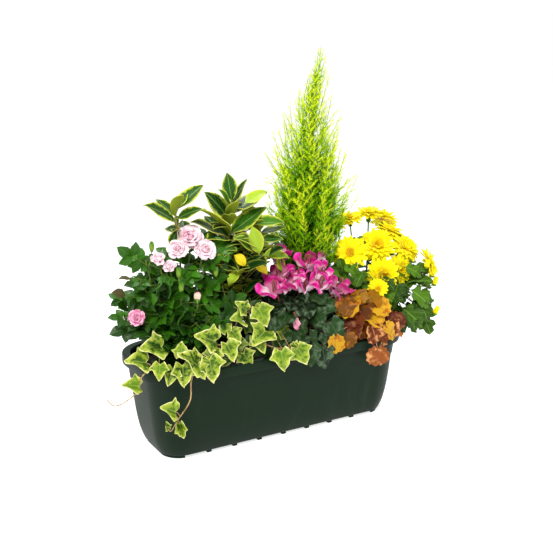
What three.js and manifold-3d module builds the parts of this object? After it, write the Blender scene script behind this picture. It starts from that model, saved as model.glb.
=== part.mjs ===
// A planted window box: a dark green plastic trough filled with soil and planted with a small
// lime-yellow cypress, a miniature rose, a variegated evergreen shrub, a cyclamen, a yellow
// chrysanthemum, an amber heuchera and trailing variegated ivy.
//
// Millimetres, +Z up. The origin is the middle of the trough's footprint, on the surface that it
// stands on. X runs along the trough and -Y is its front.
//
// Every plant is one solid for each colour that holds together: its stems and leaves are joined in
// one mesh, and each bloom is a mesh of its own that sits SEAT_GAP above its calyx. A piece that
// would cross another plant is bent clear by drawing its seeded jitter again.

import * as THREE from 'three';
import { mergeVertices } from 'three/addons/utils/BufferGeometryUtils.js';
import Module from 'manifold-3d';

const wasm = await Module();
wasm.setup();

// ---------------------------------------------------------------- driving dimensions

const SEAT_GAP = 0.3; // between pieces that touch
const CALYX_GAP = 0.55; // between a calyx and its bloom
const CLEARANCE = 0.5; // least gap between leaves and stems of different plants
const REDRAWS = 14; // how often a leaf that crosses another plant is drawn again
const FLOWER_REDRAWS = 80;
const SIBLING_GAP = 0.1; // between leaves of one plant

const TROUGH = { length: 500, width: 203, height: 158, wall: 3, floor: 9, corner: 67 };
const RIM = { drop: 17, flange: 14 };
const FOOT = { height: 5, band: 12, start: 188, ribWidth: 8, ribSpacing: 48, ribs: 7 };
const DRAIN = { radius: 5, places: [-168, -72, 72, 168] };
const SOIL = { level: 136, mound: 3, rootDepth: 24 };
const CORNER_STEPS = 4;

// The trough's outside, from its base to its collar: height, length, width, corner radius.
const TROUGH_SIDE = [
  [FOOT.height, 436, 128, 37],
  [FOOT.height + 3, 441, 133, 39],
  [28, 455, 149, 46],
  [58, 465, 164, 52],
  [115, 476, 179, 58],
  [115.8, 478, 181, 59],
  [TROUGH.height - RIM.drop, 483, 186, 60],
];

const COLOURS = {
  trough: 0x24352c,
  soil: 0x2b1d14,
  cypress: 0x8cc31e,
  roseLeaf: 0x1f4a16,
  rosePale: 0xf3c6d2,
  roseDeep: 0xe7799a,
  shrub: 0x7c9a2a,
  ivy: 0x9dbb4a,
  cyclamenLeaf: 0x2b4434,
  cyclamenPetal: 0xd0248e,
  mumLeaf: 0x2f6a1c,
  mumPetal: 0xf7e400,
  heucheraAmber: 0xc8821e,
  heucheraRed: 0xb35a2a,
};

// ---------------------------------------------------------------- small helpers

const vec = (x, y, z) => new THREE.Vector3(x, y, z);
const point = ([x, y, z]) => new THREE.Vector3(x, y, z);
const UP = vec(0, 0, 1);
const GOLDEN_ANGLE = Math.PI * (3 - Math.sqrt(5));
const { lerp } = THREE.MathUtils;

/** A seeded random source with uniform draws in [0, 1) and spreads about zero. */
function seeded(seed) {
  let state = seed >>> 0;
  const next = () => {
    state = (state + 0x6d2b79f5) >>> 0;
    let t = Math.imul(state ^ (state >>> 15), state | 1);
    t ^= t + Math.imul(t ^ (t >>> 7), t | 61);
    return ((t ^ (t >>> 14)) >>> 0) / 4294967296;
  };
  return { next, spread: (amount) => (next() * 2 - 1) * amount, between: (a, b) => lerp(a, b, next()) };
}

const jitter = (p, random, amount) =>
  p.clone().add(vec(random.spread(amount), random.spread(amount), random.spread(amount)));

/** A matrix whose Y runs along `direction` from `position` and whose Z leans to `upward`. */
function pose(position, direction, upward) {
  const y = direction.clone().normalize();
  let x = new THREE.Vector3().crossVectors(y, upward);
  if (x.lengthSq() < 1e-6) x = new THREE.Vector3().crossVectors(y, vec(1, 0, 0.3));
  x.normalize();
  const z = new THREE.Vector3().crossVectors(x, y);
  return new THREE.Matrix4().makeBasis(x, y, z).setPosition(position);
}

/** A matrix whose Z runs along `axis` from `position`, turned by `spin`. */
function poseUpright(position, axis, spin = 0) {
  const turn = new THREE.Quaternion().setFromUnitVectors(UP, axis.clone().normalize());
  return new THREE.Matrix4()
    .makeRotationFromQuaternion(turn)
    .multiply(new THREE.Matrix4().makeRotationZ(spin))
    .setPosition(position);
}

function geometryOf(positions, index) {
  const geometry = new THREE.BufferGeometry();
  geometry.setAttribute('position', new THREE.Float32BufferAttribute(positions, 3));
  geometry.setIndex(index);
  return geometry;
}

/** The closed solid of a geometry. */
function solidOf(geometry, matrix = null) {
  const bare = geometry.clone();
  bare.deleteAttribute('normal');
  bare.deleteAttribute('uv');
  if (matrix) bare.applyMatrix4(matrix);
  const merged = mergeVertices(bare, 1e-4);
  return new wasm.Manifold(
    new wasm.Mesh({
      numProp: 3,
      vertProperties: new Float32Array(merged.attributes.position.array),
      triVerts: new Uint32Array(merged.index.array),
    }),
  );
}

const unite = (solids) => solids.reduce((whole, solid) => whole.add(solid));

/** Joins solids in pairs, which is quicker than one after another. */
function uniteAll(solids) {
  let rest = [...solids];
  while (rest.length > 1) {
    const joined = [];
    for (let i = 0; i < rest.length; i += 2) joined.push(unite(rest.slice(i, i + 2)));
    rest = joined;
  }
  return rest[0];
}

/** The mesh of a solid: its one body, with sealed hollows and loose scraps left out. */
function meshOf(name, solid, colour, roughness = 0.7) {
  const body = solid
    .simplify(0.06)
    .decompose()
    .reduce((best, piece) => (piece.volume() > best.volume() ? piece : best));
  const { vertProperties, triVerts } = body.getMesh();
  const geometry = geometryOf(vertProperties, Array.from(triVerts));
  const material = new THREE.MeshStandardMaterial({ color: colour, roughness, metalness: 0 });
  const mesh = new THREE.Mesh(geometry, material);
  mesh.name = name;
  return mesh;
}

// ---------------------------------------------------------------- lofts, tubes and blades

/** A closed skin through rings of equal point counts, with a flat cap on the first and last. */
function loft(rings) {
  const count = rings[0].length;
  const positions = rings.flat().flatMap((p) => [p.x, p.y, p.z]);
  const index = [];
  for (let ring = 0; ring < rings.length - 1; ring++) {
    for (let i = 0; i < count; i++) {
      const a = ring * count + i;
      const b = ring * count + ((i + 1) % count);
      index.push(a, b, b + count, a, b + count, a + count);
    }
  }
  const last = (rings.length - 1) * count;
  for (let i = 1; i < count - 1; i++) {
    index.push(0, i + 1, i);
    index.push(last, last + i, last + i + 1);
  }
  return geometryOf(positions, index);
}

/** The points of a smooth curve through `points`, at equal distances. */
function smoothed(points, steps) {
  const curve = new THREE.CatmullRomCurve3(points);
  return Array.from({ length: steps + 1 }, (_, i) => curve.getPointAt(i / steps));
}

/** The point a share of the way along a line. */
function along(line, share) {
  const at = share * (line.length - 1);
  const low = Math.min(Math.floor(at), line.length - 2);
  return line[low].clone().lerp(line[low + 1], at - low);
}

/** The value a share of the way through a list of values. */
function between(values, share) {
  const at = share * (values.length - 1);
  const low = Math.min(Math.floor(at), values.length - 2);
  return lerp(values[low], values[low + 1], at - low);
}

/** The sections of a tapered tube that stand at the points of `line`. */
function sections(line, radii, sides) {
  const last = line.length - 1;
  const tangentAt = (i) => line[Math.min(i + 1, last)].clone().sub(line[Math.max(i - 1, 0)]).normalize();
  let tangent = tangentAt(0);
  const normal = new THREE.Vector3().crossVectors(tangent, vec(0.3, 0.9, 0.1)).normalize();
  return line.map((centre, i) => {
    normal.applyQuaternion(new THREE.Quaternion().setFromUnitVectors(tangent, tangentAt(i)));
    tangent = tangentAt(i);
    const across = new THREE.Vector3().crossVectors(tangent, normal);
    const radius = between(radii, i / last);
    return Array.from({ length: sides }, (_, side) => {
      const angle = (2 * Math.PI * side) / sides;
      return centre
        .clone()
        .addScaledVector(normal, Math.cos(angle) * radius)
        .addScaledVector(across, Math.sin(angle) * radius);
    });
  });
}

/** A tapered tube with a section at every point of `line`. */
const rod = (line, radii, sides = 3) => solidOf(loft(sections(line, radii, sides)));

/** A slim core whose every face past the first is drawn out into a needle that leans to the tip. */
function plume(line, radii, needle, lean, random) {
  const sides = 3;
  const positions = sections(line, radii, sides).flat().flatMap((p) => [p.x, p.y, p.z]);
  const steps = line.length - 1;
  const index = [];
  for (let step = 0; step < steps; step++) {
    const forward = line[step + 1].clone().sub(line[step]).normalize();
    const middle = line[step].clone().lerp(line[step + 1], 0.5);
    for (let side = 0; side < sides; side++) {
      const a = step * sides + side;
      const b = step * sides + ((side + 1) % sides);
      const corners = [a, b, b + sides, a + sides];
      if (step === 0) {
        index.push(a, b, b + sides, a, b + sides, a + sides);
        continue;
      }
      const face = new THREE.Vector3();
      corners.forEach((i) => face.add(vec(positions[3 * i], positions[3 * i + 1], positions[3 * i + 2])));
      face.multiplyScalar(0.25);
      const outward = face.clone().sub(middle).normalize();
      const reach = needle * lerp(1, 0.55, step / steps) * random.between(0.75, 1.15);
      const tip = face
        .clone()
        .addScaledVector(outward, Math.sin(lean) * reach)
        .addScaledVector(forward, Math.cos(lean) * reach);
      const apex = positions.push(tip.x, tip.y, tip.z) / 3 - 1;
      corners.forEach((corner, i) => index.push(corner, corners[(i + 1) % 4], apex));
    }
  }
  const last = steps * sides;
  index.push(0, 2, 1, last, last + 1, last + 2);
  return solidOf(geometryOf(positions, index));
}

/**
 * A thin closed blade in the XY plane, Y along it. points are [x, y, half thickness], where a half
 * thickness of 0 is a point on the edge. loops are polygons of point numbers, counterclockwise, and
 * both faces are split alike. bend moves each numbered point to its place.
 */
function blade(points, loops, bend) {
  const positions = [];
  const add = (x, y, z, i) => {
    const p = bend(x, y, z, i);
    positions.push(p.x, p.y, p.z);
    return positions.length / 3 - 1;
  };
  const top = points.map(([x, y, h], i) => add(x, y, h, i));
  const bottom = points.map(([x, y, h], i) => (h > 0 ? add(x, y, -h, i) : top[i]));
  const index = [];
  const open = new Map();
  for (const loop of loops) {
    const contour = loop.map((i) => new THREE.Vector2(points[i][0], points[i][1]));
    for (const face of THREE.ShapeUtils.triangulateShape(contour, [])) {
      const [a, b, c] = face.map((i) => loop[i]);
      index.push(top[a], top[b], top[c], bottom[a], bottom[c], bottom[b]);
      for (const [from, to] of [[a, b], [b, c], [c, a]]) {
        if (!open.delete(`${to},${from}`)) open.set(`${from},${to}`, [from, to]);
      }
    }
  }
  for (const [from, to] of open.values()) {
    if (top[from] !== bottom[from]) index.push(top[to], top[from], bottom[from]);
    if (top[to] !== bottom[to]) index.push(top[to], bottom[from], bottom[to]);
  }
  return geometryOf(positions, index);
}

/** Bends a flat blade: an arch along its length, a fold along its rib and a wave at its edge. */
function arching({ length, arch = 0, fold = 0, wave = 0, waves = 2, curl = 0 }) {
  return (x, y, z) => {
    const turn = (arch * y) / length;
    const run = Math.abs(arch) < 1e-4 ? y : (length * Math.sin(turn)) / arch;
    const rise = Math.abs(arch) < 1e-4 ? 0 : (-length * (1 - Math.cos(turn))) / arch;
    const ripple = wave * Math.sin((waves * 2 * Math.PI * y) / length) * Math.sign(x);
    const lift = fold * Math.abs(x) + (curl * x * x) / length + (Math.abs(x) > 0.12 * length ? ripple : 0);
    return vec(x, run + Math.sin(turn) * (z + lift), rise + Math.cos(turn) * (z + lift));
  };
}

/** A leaf or petal with a rib: stations are [share of length, half width in shares of length]. */
function ribLeaf(stations, length, thick, form) {
  const points = [];
  const rows = stations.map(([at, half]) => {
    const y = at * length;
    points.push([0, y, thick / 2]);
    const rib = points.length - 1;
    if (half === 0) return { rib };
    points.push([half * length, y, 0], [-half * length, y, 0]);
    return { rib, right: rib + 1, left: rib + 2 };
  });
  const last = rows[rows.length - 1];
  if (last.right === undefined) points[last.rib][2] = 0;
  const loops = [];
  for (let i = 0; i < rows.length - 1; i++) {
    const [a, b] = [rows[i], rows[i + 1]];
    loops.push([a.rib, a.right, b.right, b.rib].filter((n) => n !== undefined));
    loops.push([a.rib, b.rib, b.left, a.left].filter((n) => n !== undefined));
  }
  return blade(points, loops, arching({ length, ...form }));
}

/** A compound leaf whose leaflets are cut to the rib: leaflets is 3 or 5. */
function pinnateLeaf(leaflets, length, thick, form) {
  const pairs = leaflets === 5 ? [0.14, 0.42] : [0.34];
  const right = [[0.018, 0]];
  const ribs = [[0, 0]];
  for (const start of pairs) {
    right.push([0.02, start + 0.05]);
    right.push([0.17, start - 0.03], [0.37, start + 0.08], [0.24, start + 0.22]);
    ribs.push([0, start + 0.08]);
  }
  right.push([0.04, 0.66], [0.19, 0.76], [0.16, 0.9]);
  ribs.push([0, 0.68]);
  const tip = [0, 1];
  const points = [];
  const add = ([x, y], h) => points.push([x * length, y * length, h]) - 1;
  const rib = ribs.map((p) => add(p, thick / 2));
  const end = add(tip, 0);
  const loops = [];
  for (const sign of [1, -1]) {
    const edge = right.map(([x, y]) => add([sign * x, y], 0));
    const wind = (loop) => (sign > 0 ? loop : loop.reverse());
    let used = 0;
    for (let i = 0; i < pairs.length; i++) {
      loops.push(wind([rib[i], edge[used], edge[used + 1], rib[i + 1]]));
      const leaflet = edge.slice(used + 1, used + 5);
      loops.push(wind([rib[i + 1], ...leaflet]));
      used += 4;
    }
    loops.push(wind([rib[pairs.length], edge[used], edge[used + 1], rib[pairs.length + 1]]));
    loops.push(wind([rib[pairs.length + 1], ...edge.slice(used + 1), end]));
  }
  return blade(points, loops, arching({ length, ...form }));
}

// ---------------------------------------------------------------- plants and their clearance

const placed = []; // every piece so far, with the plant that it belongs to

function boxesNear(a, b, gap) {
  return [0, 1, 2].every((i) => a.min[i] - gap <= b.max[i] && b.min[i] - gap <= a.max[i]);
}

/** One node: the solids that grow together, each kept clear of all other nodes. */
class Growth {
  constructor(name, colour, roughness = 0.6) {
    Object.assign(this, { name, colour, roughness, solids: [] });
  }

  /** Whether a solid is clear of the placed pieces that `counts` picks. */
  isClear(solid, counts, gap) {
    const box = solid.boundingBox();
    return placed.every(
      (other) =>
        !counts(other) || !boxesNear(box, other.box, gap) || solid.minGap(other.solid, gap * 2) >= gap * 0.999,
    );
  }

  /** Adds a piece and returns its entry, with the line that it follows, if it is a stem. */
  add(solid, line = null) {
    const entry = { growth: this, solid, box: solid.boundingBox(), line };
    this.solids.push(solid);
    placed.push(entry);
    return entry;
  }

  /**
   * Draws a piece until it is clear of the other plants, and leaves it out if it never is. A piece
   * with `hosts` is also clear of its own plant, apart from those, which it grows from.
   */
  grow(draw, { redraws = REDRAWS, hosts = null } = {}) {
    for (let attempt = 0; attempt < redraws; attempt++) {
      const { solid, line } = draw(attempt / redraws);
      if (!this.isClear(solid, (other) => other.growth !== this, CLEARANCE)) continue;
      const sibling = (other) => other.growth === this && !hosts.includes(other);
      if (hosts && !this.isClear(solid, sibling, SIBLING_GAP)) continue;
      return this.add(solid, line);
    }
    return null;
  }

  mesh() {
    return meshOf(this.name, uniteAll(this.solids), this.colour, this.roughness);
  }
}

// ---------------------------------------------------------------- trough and soil

/** A rounded rectangle at height z, counterclockwise from above. */
function outline([z, length, width, radius]) {
  const points = [];
  const [reachX, reachY] = [length / 2 - radius, width / 2 - radius];
  [[1, -1], [1, 1], [-1, 1], [-1, -1]].forEach(([signX, signY], corner) => {
    for (let step = 0; step <= CORNER_STEPS; step++) {
      const angle = (Math.PI / 2) * (corner - 1 + step / CORNER_STEPS);
      points.push(
        vec(signX * reachX + radius * Math.cos(angle), signY * reachY + radius * Math.sin(angle), z),
      );
    }
  });
  return points;
}

const shrunk = ([z, length, width, radius], by) => [z, length - 2 * by, width - 2 * by, radius - by];

// The inside of the trough, from its floor to the inner edge of its rim.
const TROUGH_INSIDE = [
  [TROUGH.floor, ...shrunk(TROUGH_SIDE[1], TROUGH.wall).slice(1)],
  shrunk(TROUGH_SIDE[2], TROUGH.wall),
  shrunk(TROUGH_SIDE[3], TROUGH.wall),
  shrunk(TROUGH_SIDE[4], TROUGH.wall),
  [TROUGH.height - 1.2, ...shrunk([0, TROUGH.length, TROUGH.width, TROUGH.corner], RIM.flange).slice(1)],
];

/** The trough's inside at any height, drawn in by `gap`. */
function insideAt(z, gap) {
  const above = Math.max(1, TROUGH_INSIDE.findIndex((station) => station[0] >= z));
  const [low, high] = [TROUGH_INSIDE[above - 1], TROUGH_INSIDE[above]];
  const share = (z - low[0]) / (high[0] - low[0]);
  return shrunk([z, ...[1, 2, 3].map((i) => lerp(low[i], high[i], share))], gap);
}

const slab = (x, width) =>
  solidOf(new THREE.BoxGeometry(width, TROUGH.width, 4 * FOOT.height), new THREE.Matrix4().makeTranslation(x, 0, 0));

function trough() {
  const rim = [0, TROUGH.length, TROUGH.width, TROUGH.corner];
  const rimAt = (z, inset) => [z, ...shrunk(rim, inset).slice(1)];
  const underRim = TROUGH.height - RIM.drop;
  const body = solidOf(
    loft([
      ...TROUGH_SIDE.map(outline),
      outline(rimAt(underRim, 1)),
      outline(rimAt(underRim + 1, 0)),
      outline(rimAt(TROUGH.height - 1.6, 0)),
      outline(rimAt(TROUGH.height, 1.6)),
      outline(rimAt(TROUGH.height, RIM.flange - 1.2)),
      ...[...TROUGH_INSIDE].reverse().map(outline),
    ]),
  );
  const sole = shrunk(TROUGH_SIDE[0], 2);
  const solid = (inset) =>
    solidOf(loft([outline([0, ...shrunk(sole, inset).slice(1)]), outline([FOOT.height + 1, ...shrunk(sole, inset - 1).slice(1)])]));
  const endFeet = solid(0).subtract(solid(FOOT.band)).subtract(slab(0, 2 * FOOT.start));
  const feet = [endFeet];
  for (let i = 0; i < FOOT.ribs; i++) {
    feet.push(solid(0).intersect(slab((i - (FOOT.ribs - 1) / 2) * FOOT.ribSpacing, FOOT.ribWidth)));
  }
  const drain = new THREE.CylinderGeometry(DRAIN.radius, DRAIN.radius, 6 * FOOT.height, 8).rotateX(Math.PI / 2);
  const drains = DRAIN.places.map((x) => solidOf(drain, new THREE.Matrix4().makeTranslation(x, 0, 0)));
  return [body, ...feet].reduce((whole, piece) => whole.add(piece)).subtract(unite(drains));
}

/** The height of the soil, with low mounds of compost. */
const soilHeight = (x, y) =>
  SOIL.level + SOIL.mound * Math.sin(x / 27 + 1) * Math.cos(y / 19) + 0.4 * SOIL.mound * Math.sin(x / 9 + y / 7);

function soilBed() {
  const rings = [TROUGH.floor + SEAT_GAP, 28, 58, 115, SOIL.level - SOIL.mound].map((z) =>
    outline(insideAt(z, SEAT_GAP)),
  );
  const edge = rings[rings.length - 1];
  for (const share of [0.88, 0.5]) {
    rings.push(edge.map((p) => vec(p.x * share, p.y * share, soilHeight(p.x * share, p.y * share))));
  }
  return solidOf(loft(rings));
}

/** The bed of soil with a plain hole for each foot that stands in it. */
function pierced(bed) {
  const holes = crowns.map(({ x, y, radius, sides }) => {
    const depth = SOIL.rootDepth + SEAT_GAP;
    const hole = new THREE.CylinderGeometry(radius + SEAT_GAP, radius + SEAT_GAP, 2 * depth, sides);
    hole.rotateX(Math.PI / 2);
    return solidOf(hole, new THREE.Matrix4().makeTranslation(x, y, SOIL.level));
  });
  return holes.reduce((rest, hole) => rest.subtract(hole), bed);
}

const crowns = [];
const CROWN_SPREAD = 5;
const MAIN_STEMS = 4; // of a plant; its other stems branch from them
const BRANCH_AT = 0.45; // of a main stem's length
const STEM_STEPS = 4;
const NUDGE = 14; // how far a bloom may be moved to be clear of the others

/** A point of the crown on the side that a stem leaves it. */
function rootTowards(root, goal, spread) {
  const side = vec(goal.x - root.x, goal.y - root.y, 0).normalize().multiplyScalar(spread);
  return root.clone().add(side);
}

/** The foot of a plant, which stands in a plain hole in the soil. Returns where it grows from. */
function crown(growth, x, y, radius, sides = 6, rise = 10) {
  crowns.push({ x, y, radius, sides });
  const height = SOIL.rootDepth + rise;
  const foot = new THREE.CylinderGeometry(radius * 0.8, radius * Math.cos(Math.PI / sides), height, sides);
  foot.rotateX(Math.PI / 2);
  const middle = SOIL.level + (rise - SOIL.rootDepth) / 2;
  growth.corm = growth.add(solidOf(foot, new THREE.Matrix4().makeTranslation(x, y, middle)));
  return vec(x, y, SOIL.level + rise - 3);
}

// ---------------------------------------------------------------- blooms

function turned(profile, sides) {
  const outline = profile.map(([radius, height]) => new THREE.Vector2(radius, height));
  return new THREE.LatheGeometry(outline, sides).rotateX(Math.PI / 2);
}

/**
 * A bloom in one closed skin. Its layers run from the innermost out, each with the same number of
 * petals. The skin goes up a layer's inner face, round its edge and down its outer face, and on to
 * the next layer. A layer is { turn, root: [radius, height, half thickness], stations, tip }, where a
 * station is [radius, height, half width, half thickness of the rib, or 0] and a tip [radius, height].
 */
function whorl(petals, layers, heart, foot, random) {
  const positions = [];
  const index = [];
  const step = (2 * Math.PI) / petals;
  const add = (angle, radius, z, aside = 0) =>
    positions.push(
      radius * Math.cos(angle) - aside * Math.sin(angle),
      radius * Math.sin(angle) + aside * Math.cos(angle),
      z,
    ) / 3 - 1;
  const ring = (turn, radius, z) =>
    Array.from({ length: petals }, (_, i) => add(turn + (i - 0.5) * step, radius, z));
  const after = (i) => (i + 1) % petals;
  const band = (from, to) => {
    for (let i = 0; i < petals; i++) {
      index.push(from[i], to[i], to[after(i)], from[i], to[after(i)], from[after(i)]);
    }
  };
  let below = null;
  for (const { turn, root: [rootRadius, rootHeight, rootHalf], stations, tip } of layers) {
    const upper = ring(turn, rootRadius, rootHeight + rootHalf);
    const lower = ring(turn, rootRadius, rootHeight - rootHalf);
    if (below) band(below, upper);
    else {
      const apex = add(0, 0, heart);
      upper.forEach((corner, i) => index.push(corner, upper[after(i)], apex));
    }
    for (let i = 0; i < petals; i++) {
      const angle = turn + i * step + random.spread(0.06 * step);
      const size = random.between(0.9, 1.05);
      const lift = random.between(0.88, 1.1);
      const rows = stations.map(([radius, z, half, rib]) => {
        const at = (aside, shift) => add(angle, radius * size, rootHeight + (z - rootHeight) * lift + shift, aside);
        const row = { low: at(-half, 0), high: at(half, 0) };
        return rib > 0 ? { ...row, mid: [at(0, rib), at(0, -rib)] } : row;
      });
      const end = add(angle, tip[0] * size, rootHeight + (tip[1] - rootHeight) * lift);
      for (const face of [0, 1]) {
        const rootRing = face === 0 ? upper : lower;
        const push = (a, b, c) => (face === 0 ? index.push(a, b, c) : index.push(a, c, b));
        const [from, to] = [rootRing[i], rootRing[after(i)]];
        const first = rows[0];
        const middle = first.mid ? first.mid[face] : end;
        push(from, first.low, middle);
        push(from, middle, to);
        push(to, middle, first.high);
        for (let s = 1; s < rows.length; s++) {
          const [a, b] = [rows[s - 1], rows[s]];
          push(a.low, b.low, b.mid[face]);
          push(a.low, b.mid[face], a.mid[face]);
          push(a.mid[face], b.mid[face], b.high);
          push(a.mid[face], b.high, a.high);
        }
        const last = rows[rows.length - 1];
        if (last.mid) {
          push(last.low, end, last.mid[face]);
          push(last.mid[face], end, last.high);
        }
      }
      index.push(rows[0].low, upper[i], lower[i]);
      index.push(upper[after(i)], rows[0].high, lower[after(i)]);
    }
    below = lower;
  }
  const sole = ring(layers[layers.length - 1].turn, foot, 0);
  band(below, sole);
  for (let i = 1; i < petals - 1; i++) index.push(sole[0], sole[i + 1], sole[i]);
  return solidOf(geometryOf(positions, index));
}

/** An open rose: scalloped bowls of petals, one inside the other, round a closed heart. */
function roseBloom(radius, open, random) {
  const layers = [
    { reach: 0.34, rise: 0.86, root: 0.2 },
    { reach: 0.62, rise: 0.74, root: 0.27 },
    { reach: 0.86, rise: 0.5, root: 0.33 },
    { reach: 1, rise: 0.22, root: 0.38 },
  ].slice(0, open > 0.75 ? 4 : 3);
  const shapes = layers.map(({ reach, rise, root }, i) => {
    const spread = radius * reach * (open > 0.75 ? 1 : 0.8);
    const height = radius * (open > 0.75 ? rise : rise + 0.6);
    return {
      turn: 0.6 * i,
      root: [radius * root, radius * (0.48 - 0.12 * i), 0.7],
      stations: [[spread * 0.9, height * 0.95, spread * 0.5, 0]],
      tip: [spread, height],
    };
  });
  return whorl(5, shapes, radius * 0.8 + (open > 0.75 ? 0 : radius * 0.6), radius * 0.16, random);
}

/** A double chrysanthemum head: strap petals in layers round an eye. */
function mumHead(radius, layers, random) {
  const shapes = [
    { reach: 0.56, rise: 0.5, root: 0.17, height: 8.4 },
    { reach: 0.82, rise: 0.34, root: 0.2, height: 6.4 },
    { reach: 1, rise: 0.1, root: 0.23, height: 4.4 },
  ]
    .slice(3 - layers)
    .map(({ reach, rise, root, height }, i) => ({
      turn: 0.4 * i,
      root: [radius * root, height, 0.7],
      stations: [[radius * reach * 0.88, height + radius * rise * 0.9, radius * reach * 0.21, 0]],
      tip: [radius * reach, height + radius * rise],
    }));
  return whorl(MUM.petals, shapes, 12, radius * 0.13, random);
}

/** A pointed bud that stands at `seat`. */
function bud(radius, length, sides, seat, axis) {
  const profile = [[0, 0], [radius * 0.55, 0], [radius, length * 0.35], [radius * 0.7, length * 0.7], [0, length]];
  return solidOf(turned(profile, sides), poseUpright(seat, axis));
}

/** A bloom nudged clear of the others: the node, its seat and axis, and the calyx's radius. */
function seatBloom(name, colour, solid, place, axis, calyx) {
  const growth = new Growth(name, colour, 0.55);
  const random = seeded(Math.round(place.x * 7 + place.z));
  let seat = place;
  const draw = (retry) => {
    seat = jitter(place, random, NUDGE * retry);
    return { solid: solid.transform(poseUpright(seat, axis, place.x).elements) };
  };
  growth.grow(draw, { redraws: FLOWER_REDRAWS });
  return { growth, seat, axis: axis.clone().normalize(), calyx };
}

/** The stem, of several, that passes nearest to a place. */
function nearestStem(stems, place) {
  const distance = (stem) => along(stem.line, BRANCH_AT).distanceTo(place);
  return stems.reduce((best, stem) => (distance(stem) < distance(best) ? stem : best));
}

/**
 * The stem of a bloom, which flares into a calyx just under it. The first stems of a plant rise from
 * its crown and the others branch from the nearest of those.
 */
function growStem(growth, root, bloom, radius, random, mains) {
  const { seat, axis, calyx } = bloom;
  const under = (depth) => seat.clone().addScaledVector(axis, -depth);
  const host = mains.length < MAIN_STEMS ? growth.corm : nearestStem(mains, seat);
  const foot = host.line ? along(host.line, BRANCH_AT) : rootTowards(root, seat, CROWN_SPREAD);
  const draw = (retry) => {
    const bend = 4 + 40 * retry;
    const below = under(14 + calyx).add(vec(0, 0, -8));
    const middle = foot.clone().lerp(below, 0.5);
    middle.add(vec(random.spread(bend), random.spread(bend), random.spread(6)));
    const line = [foot, foot.clone().lerp(middle, 0.5).add(vec(0, 0, 3)), middle, below, under(calyx * 1.6)];
    const solid = rod([...line, under(CALYX_GAP)], [radius * 1.2, radius, radius, radius, radius * 0.9, calyx]);
    return { solid, line };
  };
  const redraws = FLOWER_REDRAWS;
  return growth.grow(draw, { hosts: [host], redraws }) ?? growth.grow(draw, { redraws });
}

/** The stems of all blooms of a plant. */
function growStems(growth, root, blooms, radius, random) {
  const mains = [];
  const stems = blooms.map((bloom) => {
    const stem = growStem(growth, root, bloom, radius, random, mains);
    if (mains.length < MAIN_STEMS) mains.push(stem);
    return stem;
  });
  return stems;
}

/** A green bud on its own stalk, which branches from the nearest of the stems. */
function growBud(growth, stems, seat, radius, length, random) {
  const host = nearestStem(stems, seat);
  const foot = along(host.line, BRANCH_AT);
  const draw = (retry) => {
    const middle = jitter(foot.clone().lerp(seat, 0.5), random, 6 + 30 * retry);
    const stalk = rod(smoothed([foot, middle, seat.clone().add(vec(0, 0, 3))], 3), [1.7, 1.1]);
    return { solid: stalk.add(bud(radius, length, 5, seat, vec(0.1, -0.1, 1))) };
  };
  growth.grow(draw, { hosts: [host] });
}

// ---------------------------------------------------------------- leaves on their stalks

const IVY_LEAF = [[0, 0.1], [0.32, -0.1], [0.36, 0.14], [0.62, 0.34], [0.28, 0.47], [0.17, 0.76], [0, 1]];
const HEART_LEAF = [[0, 0.1], [0.24, -0.06], [0.4, 0.06], [0.47, 0.24], [0.45, 0.42], [0.4, 0.6], [0.22, 0.82], [0, 1]];
const ROUND_LOBES = [
  [0, 0.12], [0.2, 0.0], [0.38, 0.1], [0.37, 0.22], [0.54, 0.36], [0.46, 0.5], [0.46, 0.74], [0.3, 0.76], [0.17, 0.95], [0, 0.9],
];
const OAK_LOBES = [[0, 0], [0.08, 0.12], [0.34, 0.26], [0.2, 0.4], [0.38, 0.62], [0.19, 0.7], [0.12, 0.9], [0, 1]];
const SHRUB_LEAF = [[0, 0.012], [0.22, 0.13], [0.52, 0.175], [0.82, 0.11], [1, 0]];

const LEAF_THICKNESS = 1.3;
const STALK_STEPS = 3;

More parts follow.
